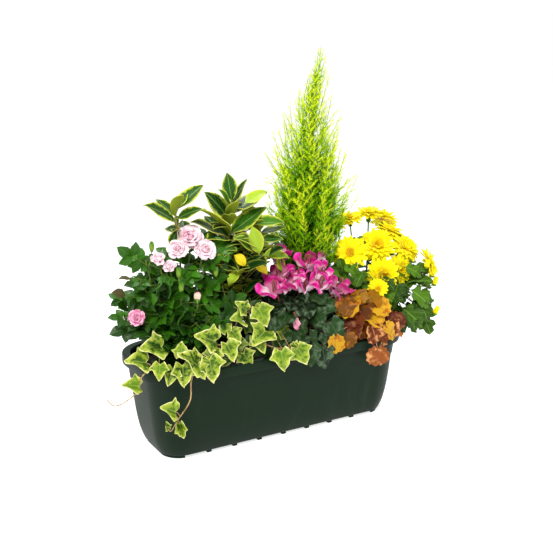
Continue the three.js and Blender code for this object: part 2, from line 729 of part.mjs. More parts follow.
/**
 * A lobed leaf and its stalk in one skin. The stalk is a three-sided tube from `root` whose last
 * section is the foot of the leaf, and the leaf is a fan from its heart to its outline.
 */
function stalkedLeaf({ root, base, tip, facing, half, heart, form, stalk = 0.9, rise = 0.1 }) {
  const direction = tip.clone().sub(base);
  const length = direction.length();
  const matrix = pose(base, direction, facing);
  const width = stalk / length;
  const foot = [[width, half[0][1]], ...half.slice(1)];
  const outline = [...foot, ...foot.slice(0, -1).reverse().map(([x, y]) => [-x, y])];
  const points = [[0, heart * length, LEAF_THICKNESS / 2], ...outline.map(([x, y]) => [x * length, y * length, 0])];
  const count = outline.length;
  const bend = arching({ length, ...form });
  const positions = [];
  const add = (p) => positions.push(p.x, p.y, p.z) / 3 - 1;
  const place = (x, y, z) => add(bend(x, y, z).applyMatrix4(matrix));
  const [x0, y0, h0] = points[0];
  const [top, bottom] = [place(x0, y0, h0), place(x0, y0, -h0)];
  const edge = points.slice(1).map(([x, y]) => place(x, y, 0));
  const ridge = place(0, half[0][1] * length, 1.5 * stalk);
  const index = [];
  for (let i = 0; i < count - 1; i++) index.push(top, edge[i], edge[i + 1]);
  for (let i = 0; i < count; i++) index.push(bottom, edge[(i + 1) % count], edge[i]);
  index.push(top, edge[count - 1], ridge, top, ridge, edge[0]);
  const section = [edge[0], ridge, edge[count - 1]];
  const corner = section.map((i) => vec(positions[3 * i], positions[3 * i + 1], positions[3 * i + 2]));
  const centre = corner[0].clone().add(corner[1]).add(corner[2]).divideScalar(3);
  const backward = direction.clone().normalize().negate();
  const span = root.distanceTo(centre);
  const curve = new THREE.CubicBezierCurve3(
    centre,
    centre.clone().addScaledVector(backward, 0.3 * span),
    root.clone().addScaledVector(UP, rise * span),
    root,
  );
  let previous = section;
  let offsets = corner.map((p) => p.clone().sub(centre));
  let along = backward;
  for (let step = 1; step <= STALK_STEPS; step++) {
    const at = curve.getPoint(step / STALK_STEPS);
    const tangent = curve.getTangent(step / STALK_STEPS);
    const turn = new THREE.Quaternion().setFromUnitVectors(along, tangent);
    offsets = offsets.map((p) => p.applyQuaternion(turn));
    along = tangent;
    const next = offsets.map((p) => add(p.clone().add(at)));
    for (let i = 0; i < 3; i++) {
      const j = (i + 1) % 3;
      index.push(previous[i], previous[j], next[i], previous[j], next[j], next[i]);
    }
    previous = next;
  }
  index.push(...previous);
  return solidOf(geometryOf(positions, index));
}

// ---------------------------------------------------------------- cypress

const CYPRESS = {
  foot: [112, 28],
  tip: [124, 30, 655],
  trunk: 6,
  plumes: 29,
  pitch: 18, // between the needles of a plume
  lowest: 225,
  needle: 17,
  envelope: [[200, 40], [300, 60], [400, 74], [500, 60], [550, 40], [600, 17], [640, 5]],
};

function radiusAt(table, z) {
  const above = table.findIndex(([height]) => height >= z);
  if (above < 1) return table[above < 0 ? table.length - 1 : 0][1];
  const [[z0, r0], [z1, r1]] = [table[above - 1], table[above]];
  return lerp(r0, r1, (z - z0) / (z1 - z0));
}

function cypress() {
  const random = seeded(11);
  const growth = new Growth('cypress', COLOURS.cypress, 0.7);
  const root = crown(growth, ...CYPRESS.foot, 8, 8, 12);
  const tip = point(CYPRESS.tip);
  const axis = (z) => root.clone().lerp(tip, (z - root.z) / (tip.z - root.z));
  const trunk = growth.add(rod([root, axis(350), axis(590)], [CYPRESS.trunk, 4, 1.5], 5));
  const leader = smoothed([axis(540), axis(600), tip], 8);
  growth.grow(() => ({ solid: plume(leader, [2.4, 1.8, 0.9], CYPRESS.needle, 0.42, random) }));
  for (let i = 0; i < CYPRESS.plumes; i++) {
    const share = (i + 0.5) / CYPRESS.plumes;
    const draw = (retry) => {
      const top = lerp(CYPRESS.lowest, 615, share ** 0.85) - 20 * retry;
      const around = i * GOLDEN_ANGLE + random.spread(0.3 + retry);
      const reach = radiusAt(CYPRESS.envelope, top) * random.between(0.8, 1) * (1 - 0.3 * retry);
      const outward = vec(Math.cos(around), Math.sin(around), 0);
      const rise = Math.min(random.between(90, 130), top - root.z - 8);
      const elbow = axis(top - rise * 0.55).addScaledVector(outward, reach * 0.75);
      const end = axis(top).addScaledVector(outward, reach);
      const line = smoothed([axis(top - rise), elbow, end], Math.round(rise / CYPRESS.pitch));
      return { solid: plume(line, [2.6, 1.9, 0.9], CYPRESS.needle, 0.5, random) };
    };
    growth.grow(draw, { hosts: [trunk] });
  }
  return growth;
}

// ---------------------------------------------------------------- rose

const ROSE_BLOOMS = [
  { seat: [-143, 0, 346], radius: 19, open: 1 },
  { seat: [-176, -26, 338], radius: 11.5, open: 0.8 },
  { seat: [-131, -34, 334], radius: 13, open: 0.9 },
  { seat: [-206, -20, 322], radius: 10, open: 0.5 },
  { seat: [-191, -30, 312], radius: 9, open: 0.55 },
];
const ROSE_DEEP = { seat: [-250, -28, 240], radius: 12, open: 0.8, axis: [-0.5, -0.75, 0.35] };
const ROSE_BUD = { seat: [-155, -50, 254], radius: 6.5, length: 22, axis: [0.05, -0.1, 1] };
const ROSE_GREEN_BUDS = [[-213, -10, 334], [-116, -40, 288], [-182, -50, 272], [-184, -46, 296]];

function roseBlooms() {
  const random = seeded(21);
  const axis = vec(-0.25, -0.45, 0.85);
  const blooms = ROSE_BLOOMS.map(({ seat, radius, open }, i) =>
    seatBloom(`rose_bloom_${i + 1}`, COLOURS.rosePale, roseBloom(radius, open, random), point(seat), axis, 3.4),
  );
  const { seat, radius, open } = ROSE_DEEP;
  blooms.push(
    seatBloom('rose_bloom_deep', COLOURS.roseDeep, roseBloom(radius, open, random), point(seat), point(ROSE_DEEP.axis), 3),
    seatBloom(
      'rose_bud',
      COLOURS.rosePale,
      bud(ROSE_BUD.radius, ROSE_BUD.length, 6, vec(0, 0, 0), UP),
      point(ROSE_BUD.seat),
      point(ROSE_BUD.axis),
      3.2,
    ),
  );
  return blooms;
}

const ROSE = {
  foot: [-166, -4],
  leaves: 20,
  canes: [[-236, -10, 262], [-205, 44, 300], [-120, 42, 290], [-92, -38, 250], [-222, -58, 205]],
};

function roseBush(blooms) {
  const random = seeded(22);
  const growth = new Growth('rose_bush', COLOURS.roseLeaf, 0.5);
  const root = crown(growth, ...ROSE.foot, 9, 6, 10);
  const stems = growStems(growth, root, blooms, 1.5, random);
  for (const end of ROSE.canes.map(point)) {
    const draw = (retry) => {
      const middle = jitter(root.clone().lerp(end, 0.5).add(vec(0, 0, 12)), random, 30 * retry);
      const line = smoothed([rootTowards(root, end, CROWN_SPREAD), middle, end], STEM_STEPS);
      return { solid: rod(line, [2, 1]), line };
    };
    const cane = growth.grow(draw, { hosts: [growth.corm] });
    if (cane) stems.push(cane);
  }
  ROSE_GREEN_BUDS.forEach((seat) => growBud(growth, stems, point(seat), 4.6, 20, random));
  for (let i = 0; i < ROSE.leaves; i++) {
    const host = stems[(i * 5) % stems.length];
    const draw = (retry) => {
      const from = along(host.line, lerp(0.3, 0.95, ((i * 7) % 11) / 10) * (1 - 0.2 * retry));
      const around = i * GOLDEN_ANGLE + random.spread(0.5 + 2 * retry);
      const direction = vec(Math.cos(around), Math.sin(around), random.between(-0.15, 0.55)).normalize();
      const leaflets = i % 4 === 0 ? 5 : 3;
      const length = (leaflets === 5 ? 58 : 50) * random.between(0.85, 1.1);
      const form = { arch: random.between(0.3, 0.9), fold: 0.15 };
      const leaf = pinnateLeaf(leaflets, length, 1.5, form);
      return { solid: solidOf(leaf, pose(from.addScaledVector(direction, -0.6), direction, UP)) };
    };
    growth.grow(draw, { hosts: [host] });
  }
  return growth;
}

// ---------------------------------------------------------------- variegated shrub

// Each sprig is the line of its stem and its leaves: how far up the stem each grows, and its tip.
const SHRUB = {
  foot: [-62, 22],
  fork: [-66, 16, 262],
  sprigs: [
    {
      stem: [[-112, 10, 308], [-160, 2, 362], [-166, 0, 400]],
      leaves: [
        [0.75, -222, -4, 412], [1, -112, 10, 434], [0.8, -132, -28, 402], [0.55, -126, 16, 356], [0.6, -182, -12, 342],
        [0.85, -186, 34, 414], [0.9, -168, -34, 428], [0.3, -104, 36, 352],
      ],
    },
    {
      stem: [[-66, 8, 318], [-70, 2, 350], [-60, 8, 408]],
      leaves: [
        [1, -66, 14, 452], [0.97, -36, 0, 440], [0.8, 14, 20, 412], [0.55, -6, -12, 392], [0.7, -72, -34, 412], [0.75, -112, 8, 424],
        [0.9, -92, -4, 428], [0.5, -134, -24, 400], [0.4, -142, -2, 378], [0.3, -128, -34, 352], [0.65, -60, 56, 404], [0.35, -92, 52, 376],
        [0.3, -58, -48, 352], [0.2, -98, -38, 322], [0.15, -46, 48, 348],
      ],
    },
    {
      stem: [[-38, 2, 302], [-26, -8, 322], [-12, -2, 352]],
      leaves: [
        [0.95, 34, -10, 354], [1, -34, -32, 376], [0.5, 26, -26, 306], [0.4, -84, -42, 350], [0.8, 18, -28, 338], [0.9, -18, 40, 392],
        [0.6, 14, 24, 330], [0.3, -28, -50, 300],
      ],
    },
  ],
};

function shrub() {
  const random = seeded(31);
  const growth = new Growth('variegated_shrub', COLOURS.shrub, 0.4);
  const root = crown(growth, ...SHRUB.foot, 7, 6, 12);
  const fork = point(SHRUB.fork);
  growth.add(rod(smoothed([root, root.clone().lerp(fork, 0.5).add(vec(3, 2, 0)), fork], 3), [4, 3], 5));
  for (const { stem, leaves } of SHRUB.sprigs) {
    const draw = (retry) => {
      const line = smoothed([fork, ...stem.map((at) => jitter(point(at), random, 24 * retry))], 6);
      return { solid: rod(line, [2.8, 2.2, 1.8], 4), line };
    };
    const { line } = growth.grow(draw);
    for (const [share, ...end] of leaves) {
      growth.grow((retry) => {
        const base = along(line, lerp(0.35, 0.97, share));
        const direction = jitter(point(end), random, 2 + 22 * retry).sub(base);
        const form = { arch: random.between(0.15, 0.55), fold: 0.22, wave: 1.2, waves: 1.5 };
        const leaf = ribLeaf(SHRUB_LEAF, direction.length() + 2, 1.4, form);
        return { solid: solidOf(leaf, pose(base, direction.add(vec(0, 0, 4)), UP)) };
      });
    }
  }
  return growth;
}

// ---------------------------------------------------------------- cyclamen

const CYCLAMEN_FLOWERS = [
  { at: [32, -50, 278], lean: [0.1, -0.2, 1] },
  { at: [60, -38, 292], lean: [0.25, 0, 1] },
  { at: [-22, -62, 264], lean: [-0.25, -0.2, 1] },
  { at: [22, -12, 306], lean: [-0.1, 0.1, 1] },
  { at: [4, -36, 284], lean: [-0.5, 0, 1] },
  { at: [94, -12, 290], lean: [0.1, 0.2, 1] },
  { at: [82, -54, 274], lean: [0.3, -0.3, 1] },
  { at: [104, -66, 256], lean: [0.45, -0.3, 1] },
];
const CYCLAMEN = { foot: [40, -44], petal: 29, mouth: 4.2, stalk: 1.3 };

/** A nodding flower whose five petals sweep up from its mouth, on a stalk hooked over at the top. */
function cyclamenFlower(name, { at, lean }, index, random) {
  const growth = new Growth(name, COLOURS.cyclamenPetal, 0.5);
  const [x, y] = CYCLAMEN.foot;
  const around = index * GOLDEN_ANGLE;
  const footAt = crown(growth, x + 17 * Math.cos(around), y + 17 * Math.sin(around), CYCLAMEN.stalk * 1.5, 5, 10);
  const { petal, mouth: wide, stalk } = CYCLAMEN;
  const petals = {
    turn: 0,
    root: [wide, 2.5, 0.8],
    stations: [[wide * 2.4, 5, petal * 0.17, 0.6], [wide * 3, petal * 0.5, petal * 0.25, 0.6]],
    tip: [wide * 3.4, petal],
  };
  const draw = (retry) => {
    const axis = jitter(point(lean).normalize(), random, 0.12 + 0.2 * retry).normalize();
    const mouth = jitter(point(at), random, 14 * retry).addScaledVector(axis, -14);
    const flower = whorl(5, [petals], 4.5, wide * 0.6, random);
    const aside = 60 * retry;
    const back = vec(x - at[0] + random.spread(aside), y + 30 - at[1] + random.spread(aside), 0).normalize();
    const hook = mouth.clone().addScaledVector(axis, petal * 0.85);
    const crest = hook.clone().add(vec(0, 0, 4)).addScaledVector(back, 6);
    const below = hook.clone().add(vec(0, 0, -12)).addScaledVector(back, 14);
    const wander = 5 + 45 * retry;
    const middle = below.clone().lerp(footAt, 0.5);
    middle.add(vec(random.spread(wander), 6 + random.spread(wander), 0));
    const inside = mouth.clone().addScaledVector(axis, 2);
    const line = [footAt, middle, below, crest, hook, inside];
    const placedFlower = flower.transform(poseUpright(mouth, axis, index).elements);
    return { solid: placedFlower.add(rod(line, [stalk * 1.1, stalk])) };
  };
  growth.grow(draw, { redraws: FLOWER_REDRAWS });
  return growth;
}

// A leaf's middle and the way its tip points.
const CYCLAMEN_LEAVES = [
  [16, -84, 192, -0.2, -0.5, -0.7], [84, -62, 214, 0.6, -0.5, -0.2], [-6, -74, 214, -0.6, -0.5, -0.2], [42, -97, 178, 0, -0.4, -0.9],
  [66, -100, 168, 0.3, -0.4, -0.9], [92, -84, 192, 0.7, -0.5, -0.5], [-16, -86, 182, -0.5, -0.6, -0.6], [62, -62, 236, 0.2, -0.7, 0.1],
  [30, -78, 226, -0.1, -0.8, -0.2], [24, -106, 156, -0.1, -0.3, -1], [54, -84, 206, 0.2, -0.7, -0.5], [70, -18, 232, 0.7, 0.4, 0.1],
  [10, -4, 222, -0.5, 0.6, 0.1], [40, 14, 212, 0.1, 0.9, -0.1], [-20, -40, 226, -0.8, 0, 0],
];

function cyclamenLeaves() {
  const random = seeded(42);
  const growth = new Growth('cyclamen_leaves', COLOURS.cyclamenLeaf, 0.6);
  const root = crown(growth, ...CYCLAMEN.foot, 9, 6, 8);
  for (const [x, y, z, ...way] of CYCLAMEN_LEAVES) {
    const draw = (retry) => {
      const direction = jitter(point(way).normalize(), random, 0.1 + 0.5 * retry).normalize();
      const length = random.between(40, 50) * (1 - 0.25 * retry);
      const middle = jitter(vec(x, y, z), random, 3 + 16 * retry);
      const base = middle.clone().addScaledVector(direction, -0.45 * length);
      const solid = stalkedLeaf({
        root: rootTowards(root, middle, 5).add(vec(random.spread(2), random.spread(2), 0)),
        base,
        tip: base.clone().addScaledVector(direction, length),
        facing: vec(0, -0.4, 1),
        half: HEART_LEAF,
        heart: 0.3,
        form: { arch: 0.5, fold: -0.08, wave: 1.4, waves: 2.5 },
        stalk: 1,
        rise: 0.4,
      });
      return { solid };
    };
    growth.grow(draw, { hosts: [growth.corm] });
  }
  return growth;
}

// ---------------------------------------------------------------- chrysanthemum

const MUM_HEADS = [
  { seat: [176, -2, 290], radius: 31, layers: 2, axis: [-0.5, -0.65, 0.4] },
  { seat: [236, 4, 294], radius: 32, layers: 3, axis: [-0.3, -0.75, 0.55] },
  { seat: [226, -26, 252], radius: 30, layers: 3, axis: [-0.3, -0.95, 0.1] },
  { seat: [272, -14, 252], radius: 27, layers: 3, axis: [0.1, -0.9, 0.3] },
  { seat: [296, 4, 282], radius: 29, layers: 3, axis: [0.2, -0.6, 0.75] },
  { seat: [322, -34, 262], radius: 27, layers: 2, axis: [0.75, -0.5, 0.3] },
  { seat: [288, 34, 308], radius: 26, layers: 2, axis: [0.2, -0.2, 1] },
  { seat: [296, 66, 326], radius: 27, layers: 2, axis: [0.4, 0.3, 0.8] },
  { seat: [262, 62, 342], radius: 26, layers: 2, axis: [0, 0, 1] },
  { seat: [212, 52, 338], radius: 22, layers: 2, axis: [-0.2, -0.1, 1] },
  { seat: [186, 58, 326], radius: 20, layers: 2, axis: [-0.3, 0, 1] },
  { seat: [196, -58, 236], radius: 17, layers: 2, axis: [-0.4, -0.9, 0.1] },
];
const MUM_BUDS = [[212, 4, 308], [354, -20, 218], [344, -34, 162], [226, 14, 296], [366, -4, 228]];
const MUM = { foot: [216, 6], leaves: 16, petals: 8 };

function mumHeads() {
  const random = seeded(51);
  return MUM_HEADS.map(({ seat, radius, layers, axis }, i) =>
    seatBloom(`chrysanthemum_${i + 1}`, COLOURS.mumPetal, mumHead(radius, layers, random), point(seat), point(axis), 4.4),
  );
}

function mumBush(heads) {
  const random = seeded(52);
  const growth = new Growth('chrysanthemum_bush', COLOURS.mumLeaf, 0.6);
  const root = crown(growth, ...MUM.foot, 9, 6, 10);
  const stems = growStems(growth, root, heads, 1.7, random);
  MUM_BUDS.forEach((seat) => growBud(growth, stems, point(seat), 6, 10, random));
  for (let i = 0; i < MUM.leaves; i++) {
    const host = stems[(i * 5) % stems.length];
    const draw = (retry) => {
      const from = along(host.line, random.between(0.25, 0.85));
      const around = i * GOLDEN_ANGLE + random.spread(0.4 + 2 * retry);
      const direction = vec(Math.cos(around), Math.sin(around) - 0.2, random.between(-0.3, 0.3)).normalize();
      const base = from.clone().addScaledVector(direction, 8);
      const solid = stalkedLeaf({
        root: from,
        base,
        tip: base.clone().addScaledVector(direction, random.between(34, 50)),
        facing: UP,
        half: OAK_LOBES,
        heart: 0.45,
        form: { arch: 0.5, fold: 0.1 },
      });
      return { solid };
    };
    growth.grow(draw, { hosts: [host] });
  }
  return growth;
}

// ---------------------------------------------------------------- heuchera

const HEUCHERA = { foot: [136, -50] };
// A leaf's middle, the way its tip points, its length, and whether it is of the redder kind.
const HEUCHERA_LEAVES = [
  [122, -72, 214, -0.2, -0.7, 0.2, 46, 0], [178, -62, 218, 0.5, -0.6, 0.3, 42, 0], [200, -62, 190, 0.8, -0.6, -0.2, 40, 0],
  [138, -88, 182, 0.1, -0.8, -0.3, 44, 0], [104, -96, 168, -0.4, -0.6, -0.6, 34, 0], [166, -84, 190, 0.3, -0.8, 0, 40, 0],
  [150, -70, 202, 0.1, -0.9, 0.1, 40, 1], [180, -90, 168, 0.5, -0.8, -0.4, 40, 1], [206, -84, 170, 0.8, -0.6, -0.3, 36, 1],
  [132, -112, 126, 0, -0.4, -0.9, 42, 1], [156, -100, 170, 0.1, -0.7, -0.6, 34, 1], [240, -62, 158, 0.9, -0.3, -0.3, 36, 1],
  [112, -82, 190, -0.5, -0.7, -0.1, 34, 1], [222, -80, 176, 0.8, -0.4, -0.2, 34, 1],
];

function heuchera(name, kind, colour, footShift, seed) {
  const random = seeded(seed);
  const growth = new Growth(name, colour, 0.6);
  const [x, y] = HEUCHERA.foot;
  const root = crown(growth, x + footShift, y, 6, 6, 6);
  for (const [mx, my, mz, wx, wy, wz, size, red] of HEUCHERA_LEAVES) {
    if (red !== kind) continue;
    const draw = (retry) => {
      const direction = jitter(vec(wx, wy, wz).normalize(), random, 0.1 + 0.5 * retry).normalize();
      const length = size * random.between(0.95, 1.08) * (1 - 0.25 * retry);
      const base = jitter(vec(mx, my, mz), random, 2 + 16 * retry).addScaledVector(direction, -0.45 * length);
      const solid = stalkedLeaf({
        root: rootTowards(root, base, 3.5).add(vec(random.spread(1.5), random.spread(1.5), 0)),
        base,
        tip: base.clone().addScaledVector(direction, length),
        facing: vec(0, -0.45, 1),
        half: ROUND_LOBES,
        heart: 0.36,
        form: { arch: 0.35, fold: 0.06, wave: 2, waves: 3 },
        stalk: 1,
        rise: 0.4,
      });
      return { solid };
    };
    growth.grow(draw, { hosts: [growth.corm] });
  }
  return growth;
}

// ---------------------------------------------------------------- ivy

// Each plant: its foot, the lines of its trails and its leaves, from the leaf's base to its tip.
const IVY_PLANTS = [
  {
    name: 'ivy_left',
    foot: [-196, -52],
    trails: [
      [[-192, -80, 166], [-190, -106, 172], [-198, -114, 150], [-200, -113, 120], [-222, -113, 92], [-233, -113, 77], [-239, -112, 84]],
      [[-224, -68, 166], [-246, -92, 178], [-272, -101, 170], [-277, -100, 150], [-286, -98, 140], [-305, -98, 131], [-318, -98, 131], [-328, -98, 143]],
    ],
    leaves: [
      [[-226, -76, 200], [-270, -84, 207]], [[-258, -90, 184], [-298, -96, 196]], [[-244, -106, 188], [-249, -111, 161]],
      [[-210, -108, 182], [-210, -114, 144]], [[-180, -112, 168], [-222, -116, 202]], [[-187, -112, 176], [-176, -118, 152]],
      [[-166, -110, 186], [-160, -115, 142]], [[-276, -102, 154], [-306, -101, 162]], [[-224, -114, 106], [-252, -117, 122]],
      [[-220, -115, 90], [-213, -116, 62]], [[-206, -96, 186], [-196, -78, 206]], [[-222, -104, 176], [-236, -112, 150]],
    ],
  },
  {
    name: 'ivy_middle',
    foot: [-96, -58],
    trails: [
      [[-92, -80, 166], [-66, -92, 184], [-38, -106, 176], [-10, -106, 174]],
      [[-112, -76, 168], [-124, -92, 190], [-146, -90, 196], [-160, -86, 200]],
      [[-100, -68, 176], [-94, -64, 214], [-70, -64, 232], [-54, -64, 240]],
    ],
    leaves: [
      [[-50, -88, 204], [-88, -108, 188]], [[-36, -110, 176], [-32, -116, 138]], [[-6, -110, 176], [12, -115, 142]],
      [[-130, -98, 200], [-121, -110, 168]], [[-142, -92, 200], [-180, -88, 216]], [[-116, -78, 208], [-124, -62, 224]],
      [[-108, -74, 210], [-98, -90, 190]], [[-74, -68, 234], [-96, -66, 254]], [[-54, -66, 240], [-44, -80, 206]],
      [[-86, -72, 222], [-114, -82, 230]], [[-150, -100, 192], [-160, -110, 166]], [[-70, -84, 196], [-62, -104, 170]],
    ],
  },
];

/** The places of a trail where leaves may grow. */
function leafNodes(stem) {
  const shares = Array.from({ length: 3 * stem.line.length }, (_, i) => (i + 1) / (3 * stem.line.length + 1));
  return shares.map((share) => ({ stem, at: along(stem.line, share) }));
}

function ivy({ name, foot, trails, leaves }, seed) {
  const random = seeded(seed);
  const growth = new Growth(name, COLOURS.ivy, 0.55);
  const root = crown(growth, ...foot, 5, 6, 8);
  const stems = trails.map((trail) => {
    const line = [root, ...trail.map(point)];
    return growth.add(rod(line, [1.7, 1.3, 1]), line);
  });
  const nodes = stems.flatMap((stem) => leafNodes(stem));
  for (const [from, to] of leaves) {
    const start = point(from);
    const near = nodes.reduce((best, node) => (node.at.distanceTo(start) < best.at.distanceTo(start) ? node : best));
    const draw = (retry) => {
      const solid = stalkedLeaf({
        root: near.at.clone(),
        base: jitter(start, random, 12 * retry),
        tip: jitter(point(to), random, 2 + 12 * retry),
        facing: vec(-0.25, -0.8, 0.75),
        half: IVY_LEAF,
        heart: 0.24,
        form: { arch: 0.45, fold: 0.12 },
        stalk: 0.8,
      });
      return { solid };
    };
    growth.grow(draw, { hosts: [near.stem] });
  }
  return growth;
}

// ---------------------------------------------------------------- the whole window box

function windowBox() {
  const box = new Growth('trough', COLOURS.trough, 0.6);
  box.add(trough());
  const bed = new Growth('soil', COLOURS.soil, 0.95);
  bed.add(soilBed());
  const roses = roseBlooms();
  const mums = mumHeads();
  const cyclamens = CYCLAMEN_FLOWERS.map((flower, i) => cyclamenFlower(`cyclamen_flower_${i + 1}`, flower, i, seeded(41 + i)));
  const plants = [
    roseBush(roses),
    mumBush(mums),
    shrub(),
    cypress(),
    ...IVY_PLANTS.map((plant, i) => ivy(plant, 71 + i)),
    cyclamenLeaves(),
    heuchera('heuchera_amber', 0, COLOURS.heucheraAmber, -9, 61),
    heuchera('heuchera_red', 1, COLOURS.heucheraRed, 9, 62),
  ];
  bed.solids = [pierced(bed.solids[0])];
  const growths = [box, bed, ...plants, ...[...roses, ...mums].map(({ growth }) => growth), ...cyclamens];
  const group = new THREE.Group();
  growths.forEach((growth) => group.add(growth.mesh()));
  return group;
}

export default windowBox();
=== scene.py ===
"""Looks of a planted window box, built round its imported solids.

The script loads the solids as a fixed frame and dresses each of them: the moulded trough, the
compost, and the plants with their fine leaves, petals and needles. Places of plants are written in
millimetres, in the same frame as the solids, and become metres when a mesh is made.
"""

from __future__ import annotations

import logging
import math
import random
from contextlib import contextmanager
from dataclasses import dataclass, replace
from enum import Enum
from typing import Callable, Iterator, Sequence

import bpy
import numpy as np
from mathutils import Matrix, Vector


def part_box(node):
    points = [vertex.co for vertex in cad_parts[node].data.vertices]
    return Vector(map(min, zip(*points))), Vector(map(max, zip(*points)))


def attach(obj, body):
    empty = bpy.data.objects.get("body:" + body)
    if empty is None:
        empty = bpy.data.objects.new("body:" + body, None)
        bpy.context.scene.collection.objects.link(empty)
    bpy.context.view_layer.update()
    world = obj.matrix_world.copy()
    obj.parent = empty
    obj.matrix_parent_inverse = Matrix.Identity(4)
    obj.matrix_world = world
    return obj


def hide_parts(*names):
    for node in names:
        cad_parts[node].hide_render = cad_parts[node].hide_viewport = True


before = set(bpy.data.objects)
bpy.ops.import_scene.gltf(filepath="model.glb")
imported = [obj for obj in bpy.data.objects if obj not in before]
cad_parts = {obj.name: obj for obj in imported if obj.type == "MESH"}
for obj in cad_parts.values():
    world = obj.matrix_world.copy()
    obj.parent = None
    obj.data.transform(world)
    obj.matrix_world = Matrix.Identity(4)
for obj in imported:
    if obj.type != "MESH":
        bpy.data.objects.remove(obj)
LOG = logging.getLogger("window_box")

Array = np.ndarray
Point = Sequence[float]
Rows = tuple[tuple[float, ...], ...]
Span = tuple[float, float]
Colour = tuple[float, float, float]
Material = bpy.types.Material
Piece = bpy.types.Object
Socket = bpy.types.NodeSocket

MM = 0.001
CIRCLE = 2 * math.pi
GOLDEN_ANGLE = math.pi * (3 - math.sqrt(5))
UP = np.array([0.0, 0.0, 1.0])
TO_VIEW = np.array([-0.49, -0.84, 0.24])
LEVEL = np.array([1.0, 1.0, 0.0])


# ------------------------------------------------------------------ small helpers


def vec(*parts: float) -> Array:
    """Returns a point or direction as an array."""
    return np.array(parts, float)


def unit(direction: Array) -> Array:
    """Returns a direction at length one."""
    return direction / np.linalg.norm(direction)


def lerp(low: float, high: float, share: float) -> float:
    """Returns the value a share of the way from low to high."""
    return low + (high - low) * share


def read_off(table: Rows, at: float) -> float:
    """Returns a table's value at a place between its rows."""
    return float(np.interp(at, *zip(*table)))


def ends(rows: Rows) -> list[tuple[Array, Array]]:
    """Returns rows of six numbers as pairs of places."""
    return [(vec(*row[:3]), vec(*row[3:])) for row in rows]


def toward(angle: float, rise: float = 0.0) -> Array:
    """Returns the level direction at an angle round the Z axis, with a rise added."""
    return vec(math.cos(angle), math.sin(angle), rise)


def spokes(count: int) -> list[Array]:
    """Returns level directions spread evenly round the Z axis."""
    return [toward(i * CIRCLE / count) for i in range(count)]


def nearest(places: Array, spot: Array) -> int:
    """Returns the row of the place that is nearest to a spot."""
    return int(np.argmin(np.linalg.norm(places - spot, axis=1)))


def basis(direction: Array, facing: Array) -> Array:
    """Axes of a leaf or stem.

    Args:
        direction: where Y points.
        facing: where Z leans to.

    Returns:
        A matrix whose columns are X, Y and Z.
    """
    y = unit(direction)
    x = np.cross(y, facing)
    if np.linalg.norm(x) < 1e-3:
        x = np.cross(y, vec(1.0, 0.0, 0.3))
    x = unit(x)
    return np.stack([x, y, np.cross(x, y)], axis=1)


def upright(axis: Array, spin: float = 0.0) -> Array:
    """Axes of a bloom.

    Args:
        axis: where Z points.
        spin: the turn about it, in radians.

    Returns:
        A matrix whose columns are X, Y and Z.
    """
    z = unit(axis)
    x = unit(np.cross(vec(0.2, 0.9, 0.1), z))
    y = np.cross(z, x)
    turn = np.array([[math.cos(spin), -math.sin(spin), 0], [math.sin(spin), math.cos(spin), 0], [0, 0, 1]])
    return np.stack([x, y, z], axis=1) @ turn


def spline(a: Array, b: Array, c: Array, d: Array, t: float) -> Array:
    """Returns the point a share t from b to c of a smooth curve, whose next points are a and d."""
    return 0.5 * (2 * b + (c - a) * t + (2 * a - 5 * b + 4 * c - d) * t**2 + (3 * b - 3 * c + d - a) * t**3)


def smooth_line(points: Sequence[Point], count: int) -> Array:
    """A smooth curve through points.

    Args:
        points: places that it passes.
        count: how many points it gets.

    Returns:
        The curve's points, as rows.
    """
    knots = np.array([points[0], *points, points[-1]], float)
    spans = len(points) - 1
    line = []
    for i in range(count):
        at = i / (count - 1) * spans
        k = min(int(at), spans - 1)
        line.append(spline(*knots[k : k + 4], at - k))
    return np.array(line)


def centre_of_node(node: str) -> Array:
    """Returns the middle of a CAD node's box, in millimetres."""
    low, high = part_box(node)
    return np.array((low + high) / 2) / MM


def tint(red: int, green: int, blue: int) -> Colour:
    """Returns the shader's colour for a colour as a screen shows it, from 0 to 255."""
    shares = (red / 255, green / 255, blue / 255)
    return tuple(share / 12.92 if share <= 0.04045 else ((share + 0.055) / 1.055) ** 2.4 for share in shares)


def select_only(piece: Piece) -> None:
    """Selects one object, makes it active and deselects the rest."""
    bpy.ops.object.select_all(action="DESELECT")
    piece.select_set(True)
    bpy.context.view_layer.objects.active = piece


@contextmanager
def editing() -> Iterator[None]:
    """Puts the active object in edit mode for a while."""
    bpy.ops.object.mode_set(mode="EDIT")
    yield
    bpy.ops.object.mode_set(mode="OBJECT")


def primitive(add: Callable[..., object], **options: object) -> Piece:
    """Adds a primitive, with nothing else selected.

    Args:
        add: the operator that adds it.
        options: what the operator is given.

    Returns:
        The object, with its transform applied.
    """
    bpy.ops.object.select_all(action="DESELECT")
    add(**options)
    bpy.ops.object.transform_apply(location=True, rotation=True, scale=True)
    return bpy.context.object


def apply_modifier(piece: Piece, kind: str, **values: object) -> Piece:
    """Puts a modifier on a piece and applies it.

    Args:
        piece: the piece.
        kind: the modifier's type.
        values: its properties.

    Returns:
        The same piece.
    """
    select_only(piece)
    modifier = piece.modifiers.new(kind.lower(), kind)
    for key, value in values.items():
        setattr(modifier, key, value)
    bpy.ops.object.modifier_apply(modifier=modifier.name)
    return piece


def joined(pieces: Sequence[Piece]) -> Piece:
    """Returns the first of some pieces, with the others joined to it."""
    select_only(pieces[0])
    for piece in pieces[1:]:
        piece.select_set(True)
    bpy.ops.object.join()
    return pieces[0]


